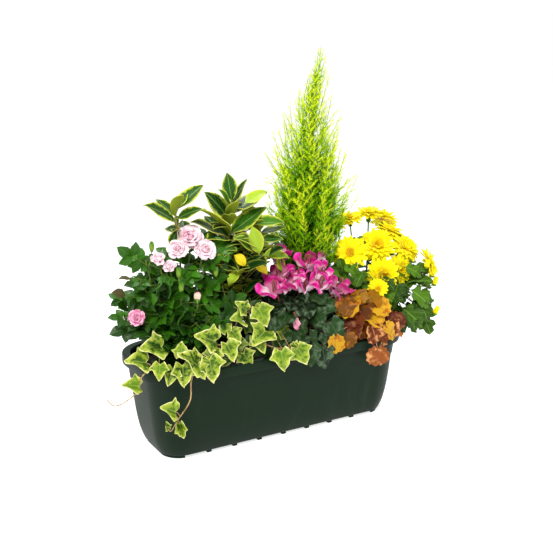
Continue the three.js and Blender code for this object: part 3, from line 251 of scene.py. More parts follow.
def coated(piece: Piece, material: Material, crease: float) -> Piece:
    """Gives a piece its one material and smooths it.

    Args:
        piece: the piece.
        material: its material.
        crease: the angle from which an edge stays sharp, in degrees.

    Returns:
        The same piece.
    """
    piece.data.materials.clear()
    piece.data.materials.append(material)
    select_only(piece)
    bpy.ops.object.shade_smooth_by_angle(angle=math.radians(crease))
    return piece


def settle(piece: Piece, slot: str, *nodes: str) -> None:
    """Rides a piece on the box and hides the nodes it stands for.

    Args:
        piece: the piece.
        slot: not used.
        nodes: the CAD nodes that it replaces.
    """
    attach(piece, "root")
    if nodes:
        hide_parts(*nodes)
    LOG.info("%s: %d faces", piece.name, len(piece.data.polygons))


# ------------------------------------------------------------------ materials


class Graph:
    """A material's nodes, added one at a time."""

    def __init__(self, name: str, roughness: float, gloss: float = 0.25) -> None:
        """Starts a material.

        Args:
            name: the material's name.
            roughness: its plain roughness.
            gloss: how strongly it mirrors, 0.5 for plain plastic.
        """
        self.material = bpy.data.materials.new(name)
        self.material.use_nodes = True
        self.nodes = self.material.node_tree.nodes
        self.shader = self.nodes["Principled BSDF"]
        self.set_shader("Roughness", roughness)
        self.set_shader("Specular IOR Level", gloss)

    def set_shader(self, socket: str, value: object) -> None:
        """Gives a socket of the shader a plain value."""
        self.shader.inputs[socket].default_value = value

    def add(self, kind: str, **values: object) -> bpy.types.Node:
        """Adds a node.

        Args:
            kind: its type.
            values: its properties.

        Returns:
            The node.
        """
        node = self.nodes.new(kind)
        for key, value in values.items():
            setattr(node, key, value)
        return node

    def wire(self, source: object, socket: Socket) -> None:
        """Feeds a socket from another socket, a number or a colour."""
        if isinstance(source, Socket):
            self.material.node_tree.links.new(source, socket)
        elif isinstance(source, tuple):
            socket.default_value = (*source, 1.0)
        else:
            socket.default_value = source

    def attribute(self, name: str) -> Socket:
        """Returns the value of a mesh attribute."""
        return self.add("ShaderNodeAttribute", attribute_name=name).outputs["Fac"]

    def uv(self) -> tuple[Socket, Socket]:
        """Returns the shares across and along a leaf or petal."""
        split = self.add("ShaderNodeSeparateXYZ")
        self.wire(self.add("ShaderNodeUVMap", uv_map="UVMap").outputs[0], split.inputs[0])
        return split.outputs[0], split.outputs[1]

    def noise(self, scale: float, detail: float = 3.0, stretch: Point = (1, 1, 1)) -> Socket:
        """Soft noise over the object.

        Args:
            scale: its fineness, per metre.
            detail: its octaves.
            stretch: how the pattern is scaled along each axis.

        Returns:
            Its value.
        """
        mapping = self.add("ShaderNodeMapping")
        mapping.inputs["Scale"].default_value = stretch
        self.wire(self.add("ShaderNodeTexCoord").outputs["Object"], mapping.inputs["Vector"])
        texture = self.add("ShaderNodeTexNoise")
        texture.inputs["Scale"].default_value = scale
        texture.inputs["Detail"].default_value = detail
        self.wire(mapping.outputs[0], texture.inputs["Vector"])
        return texture.outputs["Fac"]

    def math(self, operation: str, first: object, second: object = 0.0) -> Socket:
        """Returns the result of an arithmetic node."""
        node = self.add("ShaderNodeMath", operation=operation)
        self.wire(first, node.inputs[0])
        self.wire(second, node.inputs[1])
        return node.outputs[0]

    def plus(self, first: object, second: object) -> Socket:
        """Returns a sum."""
        return self.math("ADD", first, second)

    def times(self, first: object, second: object) -> Socket:
        """Returns a product."""
        return self.math("MULTIPLY", first, second)

    def rest(self, share: object) -> Socket:
        """Returns what a share leaves of one."""
        return self.math("SUBTRACT", 1.0, share)

    def stray(self, noise: Socket, amount: float) -> Socket:
        """Returns noise shifted to run about zero, times an amount."""
        return self.times(self.math("SUBTRACT", noise, 0.5), amount)

    def ramp(self, value: object, low: float, high: float) -> Socket:
        """Returns 0 to 1 as a value goes from low to high, smoothly."""
        node = self.add("ShaderNodeMapRange", interpolation_type="SMOOTHSTEP")
        self.wire(value, node.inputs["Value"])
        node.inputs["From Min"].default_value = low
        node.inputs["From Max"].default_value = high
        return node.outputs["Result"]

    def about(self, value: object, middle: float, reach: float) -> Socket:
        """Returns 0 to 1 as a value passes a middle, from a reach below it to a reach above."""
        return self.ramp(value, middle - reach, middle + reach)

    def mix(self, share: object, first: object, second: object) -> Socket:
        """Returns the blend of two colours by a share."""
        node = self.add("ShaderNodeMix", data_type="RGBA")
        self.wire(share, node.inputs[0])
        self.wire(first, node.inputs[6])
        self.wire(second, node.inputs[7])
        return node.outputs[2]

    def over(self, colour: object, other: object, share: object, strength: object) -> Socket:
        """Returns a colour with another laid over it, by a share times a strength."""
        return self.mix(self.times(share, strength), colour, other)

    def bump(self, height: object, strength: float, distance: float) -> None:
        """Raises the surface by a height, in metres at most `distance`."""
        node = self.add("ShaderNodeBump")
        node.inputs["Strength"].default_value = strength
        node.inputs["Distance"].default_value = distance
        self.wire(height, node.inputs["Height"])
        self.wire(node.outputs[0], self.shader.inputs["Normal"])

    def finish(self, colour: object) -> Material:
        """Ends the material with its colour and returns it."""
        self.wire(colour, self.shader.inputs["Base Color"])
        return self.material


class Veins(Enum):
    """How a leaf's veins run."""

    FEATHER = "from the rib to the edge"
    PALM = "from the leaf's foot to its lobes"


@dataclass(frozen=True)
class LeafFinish:
    """A leaf's colours: by its tone, its edge, its veins and its underside."""

    name: str
    dark: Colour
    light: Colour
    under: Colour
    vein: Colour
    margin: Colour | None = None
    margin_from: float = 0.7
    margin_soft: float = 0.06
    ragged: float = 1.3
    patch: Colour | None = None
    young: Colour | None = None
    rim: Colour | None = None
    blotch: Colour | None = None
    roughness: float = 0.45
    gloss: float = 0.15
    veins: Veins = Veins.FEATHER
    vein_pairs: float = 6.0
    vein_depth: float = 0.5
    light_tones: Span = (0.1, 1.15)
    young_tones: Span = (1.2, 1.7)
    shaded_tones: Span = (-0.75, 0.05)
    under_share: float = 0.85
    relief: float = 0.0006

    def vein_share(self, graph: Graph) -> Socket:
        """Returns where the veins run, from 0 between them to 1 on them."""
        across, length = graph.uv()
        aside = graph.math("ABSOLUTE", graph.math("SUBTRACT", across, 0.5))
        rib = graph.rest(graph.ramp(aside, 0.008, 0.045))
        if self.veins is Veins.PALM:
            angle = graph.math("ARCTAN2", aside, graph.math("SUBTRACT", length, 0.22))
            wave = graph.math("PINGPONG", graph.times(angle, 1.3), 0.5)
            side = graph.rest(graph.ramp(wave, 0.0, 0.07))
        else:
            slant = graph.math("SUBTRACT", length, graph.times(aside, 0.9))
            wave = graph.math("PINGPONG", graph.times(slant, self.vein_pairs), 0.5)
            side = graph.rest(graph.ramp(wave, 0.0, 0.09))
        return graph.math("MAXIMUM", rib, graph.times(side, 0.6))

    def material(self) -> Material:
        """Returns the leaf's material."""
        graph = Graph(self.name, self.roughness, self.gloss)
        mottle = graph.noise(210.0, 4.0)
        tone = graph.plus(graph.attribute("tone"), graph.times(mottle, 0.3))
        colour = graph.mix(graph.ramp(tone, *self.light_tones), self.dark, self.light)
        if self.young is not None:
            colour = graph.mix(graph.ramp(graph.attribute("tone"), *self.young_tones), colour, self.young)
        if self.blotch is not None:
            marble = graph.ramp(graph.noise(95.0), 0.47, 0.66)
            colour = graph.over(colour, self.blotch, marble, graph.ramp(graph.attribute("rim"), 0.2, 0.6))
        vein = self.vein_share(graph)
        colour = graph.over(colour, self.vein, vein, self.vein_depth)
        height = graph.math("SUBTRACT", mottle, vein)
        if self.patch is not None:
            patches = graph.ramp(graph.noise(130.0, stretch=(1.0, 1.0, 1.4)), 0.4, 0.58)
            colour = graph.over(colour, self.patch, patches, graph.ramp(graph.attribute("rim"), 0.1, 0.6))
        if self.margin is not None:
            ragged = graph.stray(graph.noise(150.0), self.ragged)
            reach = graph.plus(graph.attribute("rim"), ragged)
            colour = graph.mix(graph.about(reach, self.margin_from, self.margin_soft), colour, self.margin)
        if self.rim is not None:
            uneven = graph.stray(graph.noise(170.0, 2.0), 0.3)
            reach = graph.plus(graph.attribute("rim"), uneven)
            colour = graph.mix(graph.ramp(reach, 0.9, 1.03), colour, self.rim)
        colour = graph.mix(graph.ramp(graph.attribute("tone"), *self.shaded_tones), self.dark, colour)
        colour = graph.over(colour, self.under, graph.rest(graph.attribute("side")), self.under_share)
        graph.bump(height, 0.35, self.relief)
        return graph.finish(colour)


@dataclass(frozen=True)
class PetalFinish:
    """A petal's colours from its root to its tip, with fine streaks along it and a shade colour that is
    partly its own, partly painted shade.
    """

    name: str
    root: Colour
    body: Colour
    tip: Colour
    root_to: float = 0.35
    tip_from: float = 0.75
    shade: Colour | None = None
    streaks: float = 0.4
    roughness: float = 0.6
    gloss: float = 0.15
    sheen: float = 0.06
    streak_width: float = 0.055
    relief: float = 0.0004

    def material(self) -> Material:
        """Returns the petal's material."""
        graph = Graph(self.name, self.roughness, self.gloss)
        across, length = graph.uv()
        wander = graph.stray(graph.noise(160.0), 0.35)
        along = graph.plus(length, wander)
        colour = graph.mix(graph.about(along, self.root_to, 0.18), self.root, self.body)
        colour = graph.mix(graph.about(along, self.tip_from, 0.12), colour, self.tip)
        streak = graph.math("PINGPONG", graph.plus(across, graph.times(wander, 0.12)), self.streak_width)
        streak = graph.times(streak, 1 / self.streak_width)
        # Petals of low tone, such as a bloom's inner rings, take the shade colour: partly the heart's own
        # deeper colour, partly painted shade deep in the bloom.
        if self.shade is not None:
            deep = graph.rest(graph.ramp(graph.attribute("tone"), 0.15, 0.75))
            colour = graph.over(colour, self.shade, deep, 0.8)
            fine = graph.times(graph.rest(graph.ramp(streak, 0.0, 0.5)), self.streaks)
            colour = graph.over(colour, self.shade, fine, 0.4)
        graph.set_shader("Sheen Weight", self.sheen)
        graph.set_shader("Sheen Roughness", 0.5)
        graph.bump(streak, 0.3, self.relief)
        return graph.finish(colour)


@dataclass(frozen=True)
class StemFinish:
    """A stem's colours, in long streaks."""

    name: str
    dark: Colour
    light: Colour
    roughness: float = 0.55

    def material(self) -> Material:
        """Returns the stem's material."""
        graph = Graph(self.name, self.roughness)
        streak = graph.noise(260.0, 4.0, (1.0, 1.0, 0.25))
        graph.bump(streak, 0.4, 0.0005)
        return graph.finish(graph.mix(graph.ramp(streak, 0.3, 0.7), self.dark, self.light))


@dataclass(frozen=True)
class NeedleFinish:
    """Needles that go from deep green inside to lime at the tips, by their tone: partly their own colour,
    partly painted shade.
    """

    name: str
    inner: Colour
    middle: Colour
    outer: Colour
    roughness: float = 0.7
    gloss: float = 0.08

    def material(self) -> Material:
        """Returns the needles' material."""
        graph = Graph(self.name, self.roughness, self.gloss)
        tone = graph.plus(graph.attribute("tone"), graph.times(graph.noise(120.0), 0.3))
        tone = graph.math("SUBTRACT", tone, 0.15)
        colour = graph.mix(graph.ramp(tone, 0.0, 0.5), self.inner, self.middle)
        colour = graph.mix(graph.ramp(tone, 0.45, 0.95), colour, self.outer)
        return graph.finish(colour)


@dataclass(frozen=True)
class PlasticFinish:
    """Moulded plastic with a fine grain, faint streaks and dust."""

    name: str
    body: Colour
    dust: Colour
    dusty: float = 0.16
    smoothest: float = 0.38
    gloss: float = 0.14

    def material(self) -> Material:
        """Returns the plastic's material."""
        graph = Graph(self.name, 0.5, self.gloss)
        cloud = graph.noise(9.0, 5.0)
        streak = graph.noise(60.0, 4.0, (1.0, 1.0, 0.08))
        wear = graph.times(graph.ramp(cloud, 0.45, 0.75), graph.ramp(streak, 0.4, 0.75))
        colour = graph.over(self.body, self.dust, wear, self.dusty)
        grain = graph.noise(1400.0, 2.0)
        rough = graph.plus(self.smoothest, graph.times(cloud, 0.2))
        graph.wire(rough, graph.shader.inputs["Roughness"])
        graph.bump(grain, 0.12, 0.0004)
        return graph.finish(colour)


@dataclass(frozen=True)
class CompostFinish:
    """Compost: dark crumbs, some paler fibres."""

    name: str
    dark: Colour
    light: Colour
    fibre: Colour = (0.12, 0.075, 0.04)
    roughness: float = 0.95

    def material(self) -> Material:
        """Returns the compost's material."""
        graph = Graph(self.name, self.roughness)
        crumbs = graph.noise(420.0, 6.0)
        fibres = graph.ramp(graph.noise(700.0, stretch=(1.0, 0.25, 1.0)), 0.62, 0.72)
        colour = graph.mix(graph.ramp(crumbs, 0.35, 0.75), self.dark, self.light)
        colour = graph.over(colour, self.fibre, fibres, 0.5)
        graph.bump(crumbs, 0.9, 0.003)
        return graph.finish(colour)


# ------------------------------------------------------------------ patterns and their copies


@dataclass(frozen=True)
class Bend:
    """How a flat leaf or petal is curved, in shares of its length."""

    arch: float = 0.0
    fold: float = 0.0
    cup: float = 0.0
    wave: float = 0.0
    waves: float = 2.0
    twist: float = 0.0
    phase: float = 0.0

    @classmethod
    def drawn(cls, draw: random.Random, *parts: float | Span) -> Bend:
        """Returns a bend by its values in their order, each a number or a span to draw from."""
        return cls(*(draw.uniform(*part) if isinstance(part, tuple) else part for part in parts))

    def apply(self, points: Array, rim: Array) -> Array:
        """Curves the points of a pattern.

        Args:
            points: rows of X across, Y along and Z up.
            rim: how near each is to the edge, up to 1.

        Returns:
            The curved points.
        """
        x, y, z = points.T
        ripple = self.wave * np.sin(CIRCLE * self.waves * y + self.phase + np.sign(x) * 0.8) * rim
        z = z + self.fold * np.abs(x) + self.cup * x**2 + ripple
        turn = self.twist * y
        x, z = x * np.cos(turn) - z * np.sin(turn), x * np.sin(turn) + z * np.cos(turn)
        if abs(self.arch) < 1e-4:
            return np.stack([x, y, z], axis=1)
        turn = self.arch * y
        run = np.sin(turn) / self.arch
        rise = -(1 - np.cos(turn)) / self.arch
        return np.stack([x, run + np.sin(turn) * z, rise + np.cos(turn) * z], axis=1)


@dataclass(frozen=True)
class Pattern:
    """A small mesh that is modelled once and copied many times."""

    points: Array
    faces: Array
    uv: Array
    rim: Array
    side: Array

    @classmethod
    def taken_from(cls, piece: Piece, edge: Callable[[Array], Array]) -> Pattern:
        """Reads a pattern from a modelled piece, which it removes.

        Args:
            piece: the piece.
            edge: gives how near points are to the leaf's edge, up to 1.

        Returns:
            The pattern.
        """
        select_only(piece)
        with editing():
            bpy.ops.mesh.select_all(action="SELECT")
            bpy.ops.mesh.quads_convert_to_tris()
        mesh = piece.data
        points = np.array([tuple(v.co) for v in mesh.vertices])
        faces = np.array([tuple(face.vertices) for face in mesh.polygons])
        widest = max(np.abs(points[:, 0]).max(), 1e-6)
        uv = np.stack([0.5 + points[:, 0] / (2 * widest), points[:, 1]], axis=1)
        pattern = cls(points, faces, uv, edge(points), (points[:, 2] >= 0).astype(float))
        bpy.data.objects.remove(piece)
        return pattern


def length_share(points: Array) -> Array:
    """Returns how far along a pattern its points are, from 0 to 1."""
    return np.clip(points[:, 1], 0, 1)


def blade_pattern(widths: Rows, rows: int, columns: int, thickness: float) -> Pattern:
    """A leaf or petal with a rib and a smooth edge, one unit long.

    Args:
        widths: shares of the length, from root to tip, with half the width at each.
        rows: divisions along it.
        columns: divisions across it.
        thickness: in shares of its length, half of it on each side.

    Returns:
        The pattern.
    """
    shares, halves = np.array(widths, float).T

    def half_at(y: Array) -> Array:
        """Returns half the width at places along the blade, never quite nothing."""
        return np.maximum(np.interp(y, shares, halves), 0.002)

    piece = primitive(bpy.ops.mesh.primitive_grid_add, x_subdivisions=columns, y_subdivisions=rows, size=2)
    for corner in piece.data.vertices:
        y = (corner.co.y + 1) / 2
        corner.co = Vector((corner.co.x * float(half_at(np.array(y))), y, 0))
    apply_modifier(piece, "SOLIDIFY", thickness=thickness, offset=0.0)
    return Pattern.taken_from(piece, lambda spots: np.clip(np.abs(spots[:, 0]) / half_at(spots[:, 1]), 0, 1))


def lobed_pattern(half: Rows, heart: float, cuts: int, thickness: float = 0.02) -> Pattern:
    """A lobed leaf, one unit long: a disc drawn out to the leaf's outline.

    Args:
        half: the outline's right half, from its foot to its tip.
        heart: how far up the leaf its veins meet.
        cuts: how often each of the disc's edges is cut.
        thickness: in shares of its length, half of it on each side.

    Returns:
        The pattern.
    """
    outline = np.array([*half, *((-x, y) for x, y in reversed(half[1:-1]))], float)
    count = len(outline)
    centre = vec(0.0, heart)
    sector = CIRCLE / count

    def shares(x: float, y: float) -> tuple[float, float]:
        """Returns the ring from 0 to 1 and the place on the outline of a point of the disc."""
        angle = math.atan2(y, x) % CIRCLE
        number = min(int(angle / sector + 1e-6), count - 1)
        aside = angle - (number + 0.5) * sector
        ring = math.hypot(x, y) * math.cos(aside) / math.cos(sector / 2)
        return ring, number + 0.5 + math.tan(aside) / (2 * math.tan(sector / 2))

    def on_outline(at: float) -> Array:
        """Returns a point of the outline, half rounded between its corners."""
        t = at - int(at)
        corners = [outline[(int(at) % count + i) % count] for i in (-1, 0, 1, 2)]
        straight = corners[1] + (corners[2] - corners[1]) * t
        return 0.5 * (straight + spline(*corners, t))

    disc = bpy.ops.mesh.primitive_circle_add
    piece = primitive(disc, vertices=count, radius=1, fill_type="TRIFAN", rotation=(0, 0, -math.pi / 2))
    with editing():
        bpy.ops.mesh.subdivide(number_cuts=cuts)
    start = min(piece.data.vertices, key=lambda v: (v.co - Vector((1, 0, 0))).length).co
    back = Matrix.Rotation(-math.atan2(start.y, start.x), 4, "Z")
    rings = []
    for corner in piece.data.vertices:
        turned = back @ corner.co
        ring, at = shares(turned.x, turned.y)
        rings.append(ring)
        place = centre + ring * (on_outline(at) - centre) if ring > 1e-6 else centre
        corner.co = Vector((place[0], place[1], 0))
    flat = np.array([tuple(corner.co)[:2] for corner in piece.data.vertices])

    def edge(points: Array) -> Array:
        """Returns the rings that points of the finished leaf come from."""
        return np.clip([rings[nearest(flat, point[:2])] for point in points], 0, 1)

    return Pattern.taken_from(apply_modifier(piece, "SOLIDIFY", thickness=thickness, offset=0.0), edge)


def twig_pattern(needles: int, draw: random.Random) -> Pattern:
    """A short twig with needles all round it, one unit long.

    Args:
        needles: how many it carries, besides the one that is its core.
        draw: where the jitter comes from.

    Returns:
        The pattern.
    """
    bpy.ops.object.select_all(action="DESELECT")
    cones = []
    for i in range(needles + 1):
        share = (i + 0.5) / (needles + 1)
        around = i * GOLDEN_ANGLE
        core = i == needles
        lean = 0.0 if core else draw.uniform(0.45, 0.85)
        length = 0.95 if core else lerp(0.44, 0.28, share)
        way = vec(math.cos(around) * math.sin(lean), math.cos(lean), math.sin(around) * math.sin(lean))
        foot = vec(0, 0, 0) if core else vec(0, lerp(0.0, 0.8, share), 0)
        turn = Vector((0, 0, 1)).rotation_difference(Vector(way)).to_euler()
        bpy.ops.mesh.primitive_cone_add(
            vertices=3, radius1=0.03, radius2=0, depth=length, location=foot + way * length / 2, rotation=turn
        )
        cones.append(bpy.context.object)
    for cone in cones:
        cone.select_set(True)
    bpy.ops.object.join()
    bpy.ops.object.transform_apply(location=True, rotation=True, scale=True)
    return Pattern.taken_from(bpy.context.object, length_share)


def egg_pattern() -> Pattern:
    """Returns an egg that stands on its origin, one unit long and half as wide, along Y."""
    piece = primitive(
        bpy.ops.mesh.primitive_uv_sphere_add, segments=10, ring_count=7, radius=0.5, location=(0, 0.5, 0)
    )
    for corner in piece.data.vertices:
        slim = 0.56 * (1.12 - 0.45 * corner.co.y)
        corner.co.x *= slim
        corner.co.z *= slim
    return Pattern.taken_from(piece, length_share)


def crumb_pattern() -> Pattern:
    """Returns a crumb of compost, one unit across."""
    piece = primitive(bpy.ops.mesh.primitive_ico_sphere_add, subdivisions=1, radius=0.5)
    return Pattern.taken_from(piece, lambda points: np.full(len(points), 0.5))


class Stack:
    """Copies of patterns that become one mesh. Its places are in millimetres."""

    def __init__(self) -> None:
        """Starts an empty stack."""
        self.points: list[Array] = []
        self.faces: list[Array] = []
        self.uv: list[Array] = []
        self.values: dict[str, list[Array]] = {"tone": [], "rim": [], "side": []}
        self.count = 0

    def add(
        self, pattern: Pattern, origin: Array, axes: Array, length: float, bend: Bend = Bend(),
        tone: float = 0.5, width: float = 1.0,
    ) -> None:
        """Adds a copy of a pattern.

        Args:
            pattern: what is copied.
            origin: the place of its root.
            axes: its X, Y and Z axes, as columns.
            length: its length.
            bend: how it is curved.
            tone: its shade, mostly from 0 to 1.
            width: its width, as a share of the pattern's.
        """
        shaped = bend.apply(pattern.points * vec(width, 1, 1), pattern.rim)
        self.points.append(origin + (shaped * length) @ axes.T)
        self.faces.append(pattern.faces + self.count)
        self.uv.append(pattern.uv)
        self.values["tone"].append(np.full(len(shaped), tone))
        self.values["rim"].append(pattern.rim)
        self.values["side"].append(pattern.side)
        self.count += len(shaped)

    def centre_on(self, place: Array) -> Array:
        """Moves all copies.

        Args:
            place: where the middle of their box goes.

        Returns:
            How far they moved.
        """
        points = np.concatenate(self.points)
        shift = place - (points.min(axis=0) + points.max(axis=0)) / 2
        self.points = [points + shift for points in self.points]
        return shift

    def mesh(self, name: str, material: Material) -> Piece:
        """Makes the copies one mesh.

        Args:
            name: the piece's name.
            material: its material.

        Returns:
            The piece, in metres.
        """
        points = np.concatenate(self.points) * MM
        faces = np.concatenate(self.faces)
        mesh = bpy.data.meshes.new(name)
        mesh.vertices.add(len(points))
        mesh.vertices.foreach_set("co", points.ravel())
        mesh.loops.add(faces.size)
        mesh.loops.foreach_set("vertex_index", faces.ravel())
        mesh.polygons.add(len(faces))
        mesh.polygons.foreach_set("loop_start", np.arange(0, faces.size, 3))
        mesh.polygons.foreach_set("loop_total", np.full(len(faces), 3))
        mesh.update(calc_edges=True)
        uv = np.concatenate(self.uv)[faces.ravel()]
        mesh.uv_layers.new(name="UVMap").data.foreach_set("uv", uv.ravel())
        for key, values in self.values.items():
            mesh.attributes.new(key, "FLOAT", "POINT").data.foreach_set("value", np.concatenate(values))
        mesh.validate()
        piece = bpy.data.objects.new(name, mesh)
        bpy.context.scene.collection.objects.link(piece)
        return coated(piece, material, 50)


class Stems:
    """Stems of one plant: round curves that taper, made one mesh. Places are in millimetres."""

    def __init__(self) -> None:
        """Starts with no stem."""
        self.lines: list[tuple[Array, Array]] = []

    def add(self, points: Sequence[Point], radii: Sequence[float], count: int) -> Array:
        """Adds a stem.

        Args:
            points: places that it passes.
            radii: its radii from foot to tip.
            count: how many points its curve gets.

        Returns:
            The points of its curve.
        """
        line = smooth_line(points, count)
        at = np.linspace(0, len(radii) - 1, count)
        self.lines.append((line, np.interp(at, range(len(radii)), radii)))
        return line

    def mesh(self, name: str, material: Material) -> Piece:
        """Makes the stems one mesh.

        Args:
            name: the piece's name.
            material: its material.

        Returns:
            The piece, in metres.
        """
        curve = bpy.data.curves.new(name, "CURVE")
        curve.dimensions = "3D"
        curve.bevel_depth = MM
        curve.bevel_resolution = 1
        curve.use_fill_caps = True
        for line, radii in self.lines:
            strand = curve.splines.new("POLY")
            strand.points.add(len(line) - 1)
            rows = np.concatenate([line * MM, np.ones((len(line), 1))], axis=1)
            strand.points.foreach_set("co", rows.ravel())
            strand.points.foreach_set("radius", radii)
        piece = bpy.data.objects.new(name, curve)
        bpy.context.scene.collection.objects.link(piece)
        select_only(piece)
        bpy.ops.object.convert(target="MESH")
        return coated(bpy.context.object, material, 60)


# ------------------------------------------------------------------ trough and compost


@dataclass(frozen=True)
class Section:
    """A rounded oblong outline at a height, in millimetres."""

    height: float
    length: float
    width: float
    corner: float

    def inset(self, by: float, height: float) -> Section:
        """Returns the outline drawn in by an amount, at another height."""
        return Section(height, self.length - 2 * by, self.width - 2 * by, self.corner - by)

    def points(self, steps: int) -> list[Vector]:
        """Points of the outline.

        Args:
            steps: how many parts each corner is cut in.

        Returns:
            Points, in metres, that run the same way round for every section.
        """
        spots = []
        for quarter, (side_x, side_y) in enumerate(((1, 1), (-1, 1), (-1, -1), (1, -1))):
            middle_x = side_x * (self.length / 2 - self.corner)
            middle_y = side_y * (self.width / 2 - self.corner)
            for step in range(steps + 1):
                angle = (quarter + step / steps) * math.pi / 2
                x = middle_x + self.corner * math.cos(angle)
                y = middle_y + self.corner * math.sin(angle)
                spots.append(Vector((x, y, self.height)) * MM)
        return spots


def drawn_up(name: str, sections: Sequence[Section], steps: int = 20) -> Piece:
    """A closed body whose wall runs through sections, with a face on the first and the last.

    Args:
        name: the piece's name.
        sections: its outlines, in order.
        steps: how many parts each corner is cut in.

    Returns:
        The piece.
    """
    rings = [section.points(steps) for section in sections]
    count = len(rings[0])
    piece = primitive(bpy.ops.mesh.primitive_circle_add, vertices=count, radius=1, fill_type="NGON")
    piece.name = name
    mesh = piece.data
    for corner, place in zip(mesh.vertices, rings[0]):
        corner.co = place
    with editing():
        bpy.ops.mesh.select_mode(type="EDGE")
    edge = range(count)
    for before, ring in zip(rings, rings[1:]):
        mesh.polygons.foreach_set("select", [False] * len(mesh.polygons))
        mesh.vertices.foreach_set("select", [i in edge for i in range(len(mesh.vertices))])
        mesh.edges.foreach_set("select", [all(i in edge for i in side.vertices) for side in mesh.edges])
        with editing():
            bpy.ops.mesh.extrude_edges_move()
        edge = range(len(mesh.vertices) - count, len(mesh.vertices))
        places = np.array([tuple(place) for place in before])
        for i in edge:
            mesh.vertices[i].co = ring[nearest(places, np.array(mesh.vertices[i].co))]
    with editing():
        bpy.ops.mesh.edge_face_add()
        bpy.ops.mesh.select_all(action="SELECT")
        bpy.ops.mesh.normals_make_consistent(inside=False)
    return piece


def cut_from(piece: Piece, cutter: Piece) -> None:
    """Cuts one piece out of another and removes the cutter."""
    apply_modifier(piece, "BOOLEAN", operation="DIFFERENCE", solver="EXACT", object=cutter)
    bpy.data.objects.remove(cutter)


def block(middle: Point, size: Point) -> Piece:
    """Returns a block, with its place and size in millimetres."""
    cube = bpy.ops.mesh.primitive_cube_add
    return primitive(cube, size=1, location=Vector(middle) * MM, scale=Vector(size) * MM)


@dataclass
class Trough:
    """The moulded trough: stepped wall, overhanging rim, cross ribs, end feet and drain holes.

    The wall is given as sections, and the rim as insets and heights from its underside to its inside.
    """

    wall: Rows = (
        (5, 436, 128, 37), (6, 438.6, 130.6, 38), (8, 441, 133, 39), (18, 449, 142, 43), (28, 455, 149, 46),
        (42, 460.5, 157.2, 49.3), (58, 465, 164, 52), (86, 471.2, 172, 55.3), (114.2, 475.8, 178.8, 58),
        (115.4, 478.4, 181.4, 59), (117, 478.8, 181.8, 59), (140, 483, 186, 60),
    )
    outermost: Section = Section(156.4, 500, 203, 67)
    rim: Rows = (
        (1.8, 140.5), (0.5, 141.0), (0.0, 142.2), (0.0, 149.0), (0.0, 155.6), (0.5, 157.1), (1.8, 158.0),
        (11.4, 157.8), (13.0, 157.2), (14.0, 155.8), (14.2, 146.0),
    )
    thickness: float = 3.0
    floor: float = 9.0
    foot_height: float = 5.6
    foot_band: float = 12.0
    foot_start: float = 188.0
    rib_width: float = 8.0
    rib_edge: float = 0.6
    rib_spacing: float = 48.0
    ribs: int = 7
    drains: tuple[float, ...] = (-168.0, -72.0, 72.0, 168.0)
    drain_radius: float = 5.0

    def profile(self) -> list[Section]:
        """Returns the sections from the sole up the outside, over the rim and down to the floor."""
        wall = [Section(*row) for row in self.wall]
        over = [self.outermost.inset(by, height) for by, height in self.rim]
        inside = [section.inset(self.thickness, section.height) for section in reversed(wall[3:-1])]
        inside.append(wall[2].inset(self.thickness + 1.0, self.floor))
        return [*wall, *over, *inside]

    def drill(self, x: float) -> Piece:
        """Returns a drill that stands at a place along the trough."""
        cylinder = bpy.ops.mesh.primitive_cylinder_add
        return primitive(
            cylinder, vertices=20, radius=self.drain_radius * MM, depth=0.03, location=(x * MM, 0, 0.005)
        )

    def feet(self) -> list[Piece]:
        """Returns the feet round the two ends and the ribs across the sole."""
        sole = Section(*self.wall[0]).inset(2.0, 0.0)
        band = drawn_up("foot_band", [sole, sole.inset(0.0, self.foot_height)])
        inner = sole.inset(self.foot_band, -1.0)
        cut_from(band, drawn_up("foot_hollow", [inner, inner.inset(0.0, 7.0)]))
        cut_from(band, block((0, 0, 3), (2 * self.foot_start, 220, 12)))
        pieces = [band]
        for i in range(self.ribs):
            x = (i - (self.ribs - 1) / 2) * self.rib_spacing
            rib = block((x, 0, self.foot_height / 2), (self.rib_width, sole.width, self.foot_height))
            pieces.append(apply_modifier(rib, "BEVEL", width=self.rib_edge * MM, segments=2))
        return pieces

    def build(self) -> None:
        """Makes the moulding and dresses it."""
        shell = drawn_up("trough_moulding", self.profile())
        cut_from(shell, joined([self.drill(x) for x in self.drains]))
        finish = PlasticFinish("trough_plastic", tint(9, 31, 14), tint(56, 80, 62))
        piece = joined([shell, *self.feet()])
        settle(coated(piece, finish.material(), 32), "trough", "trough")


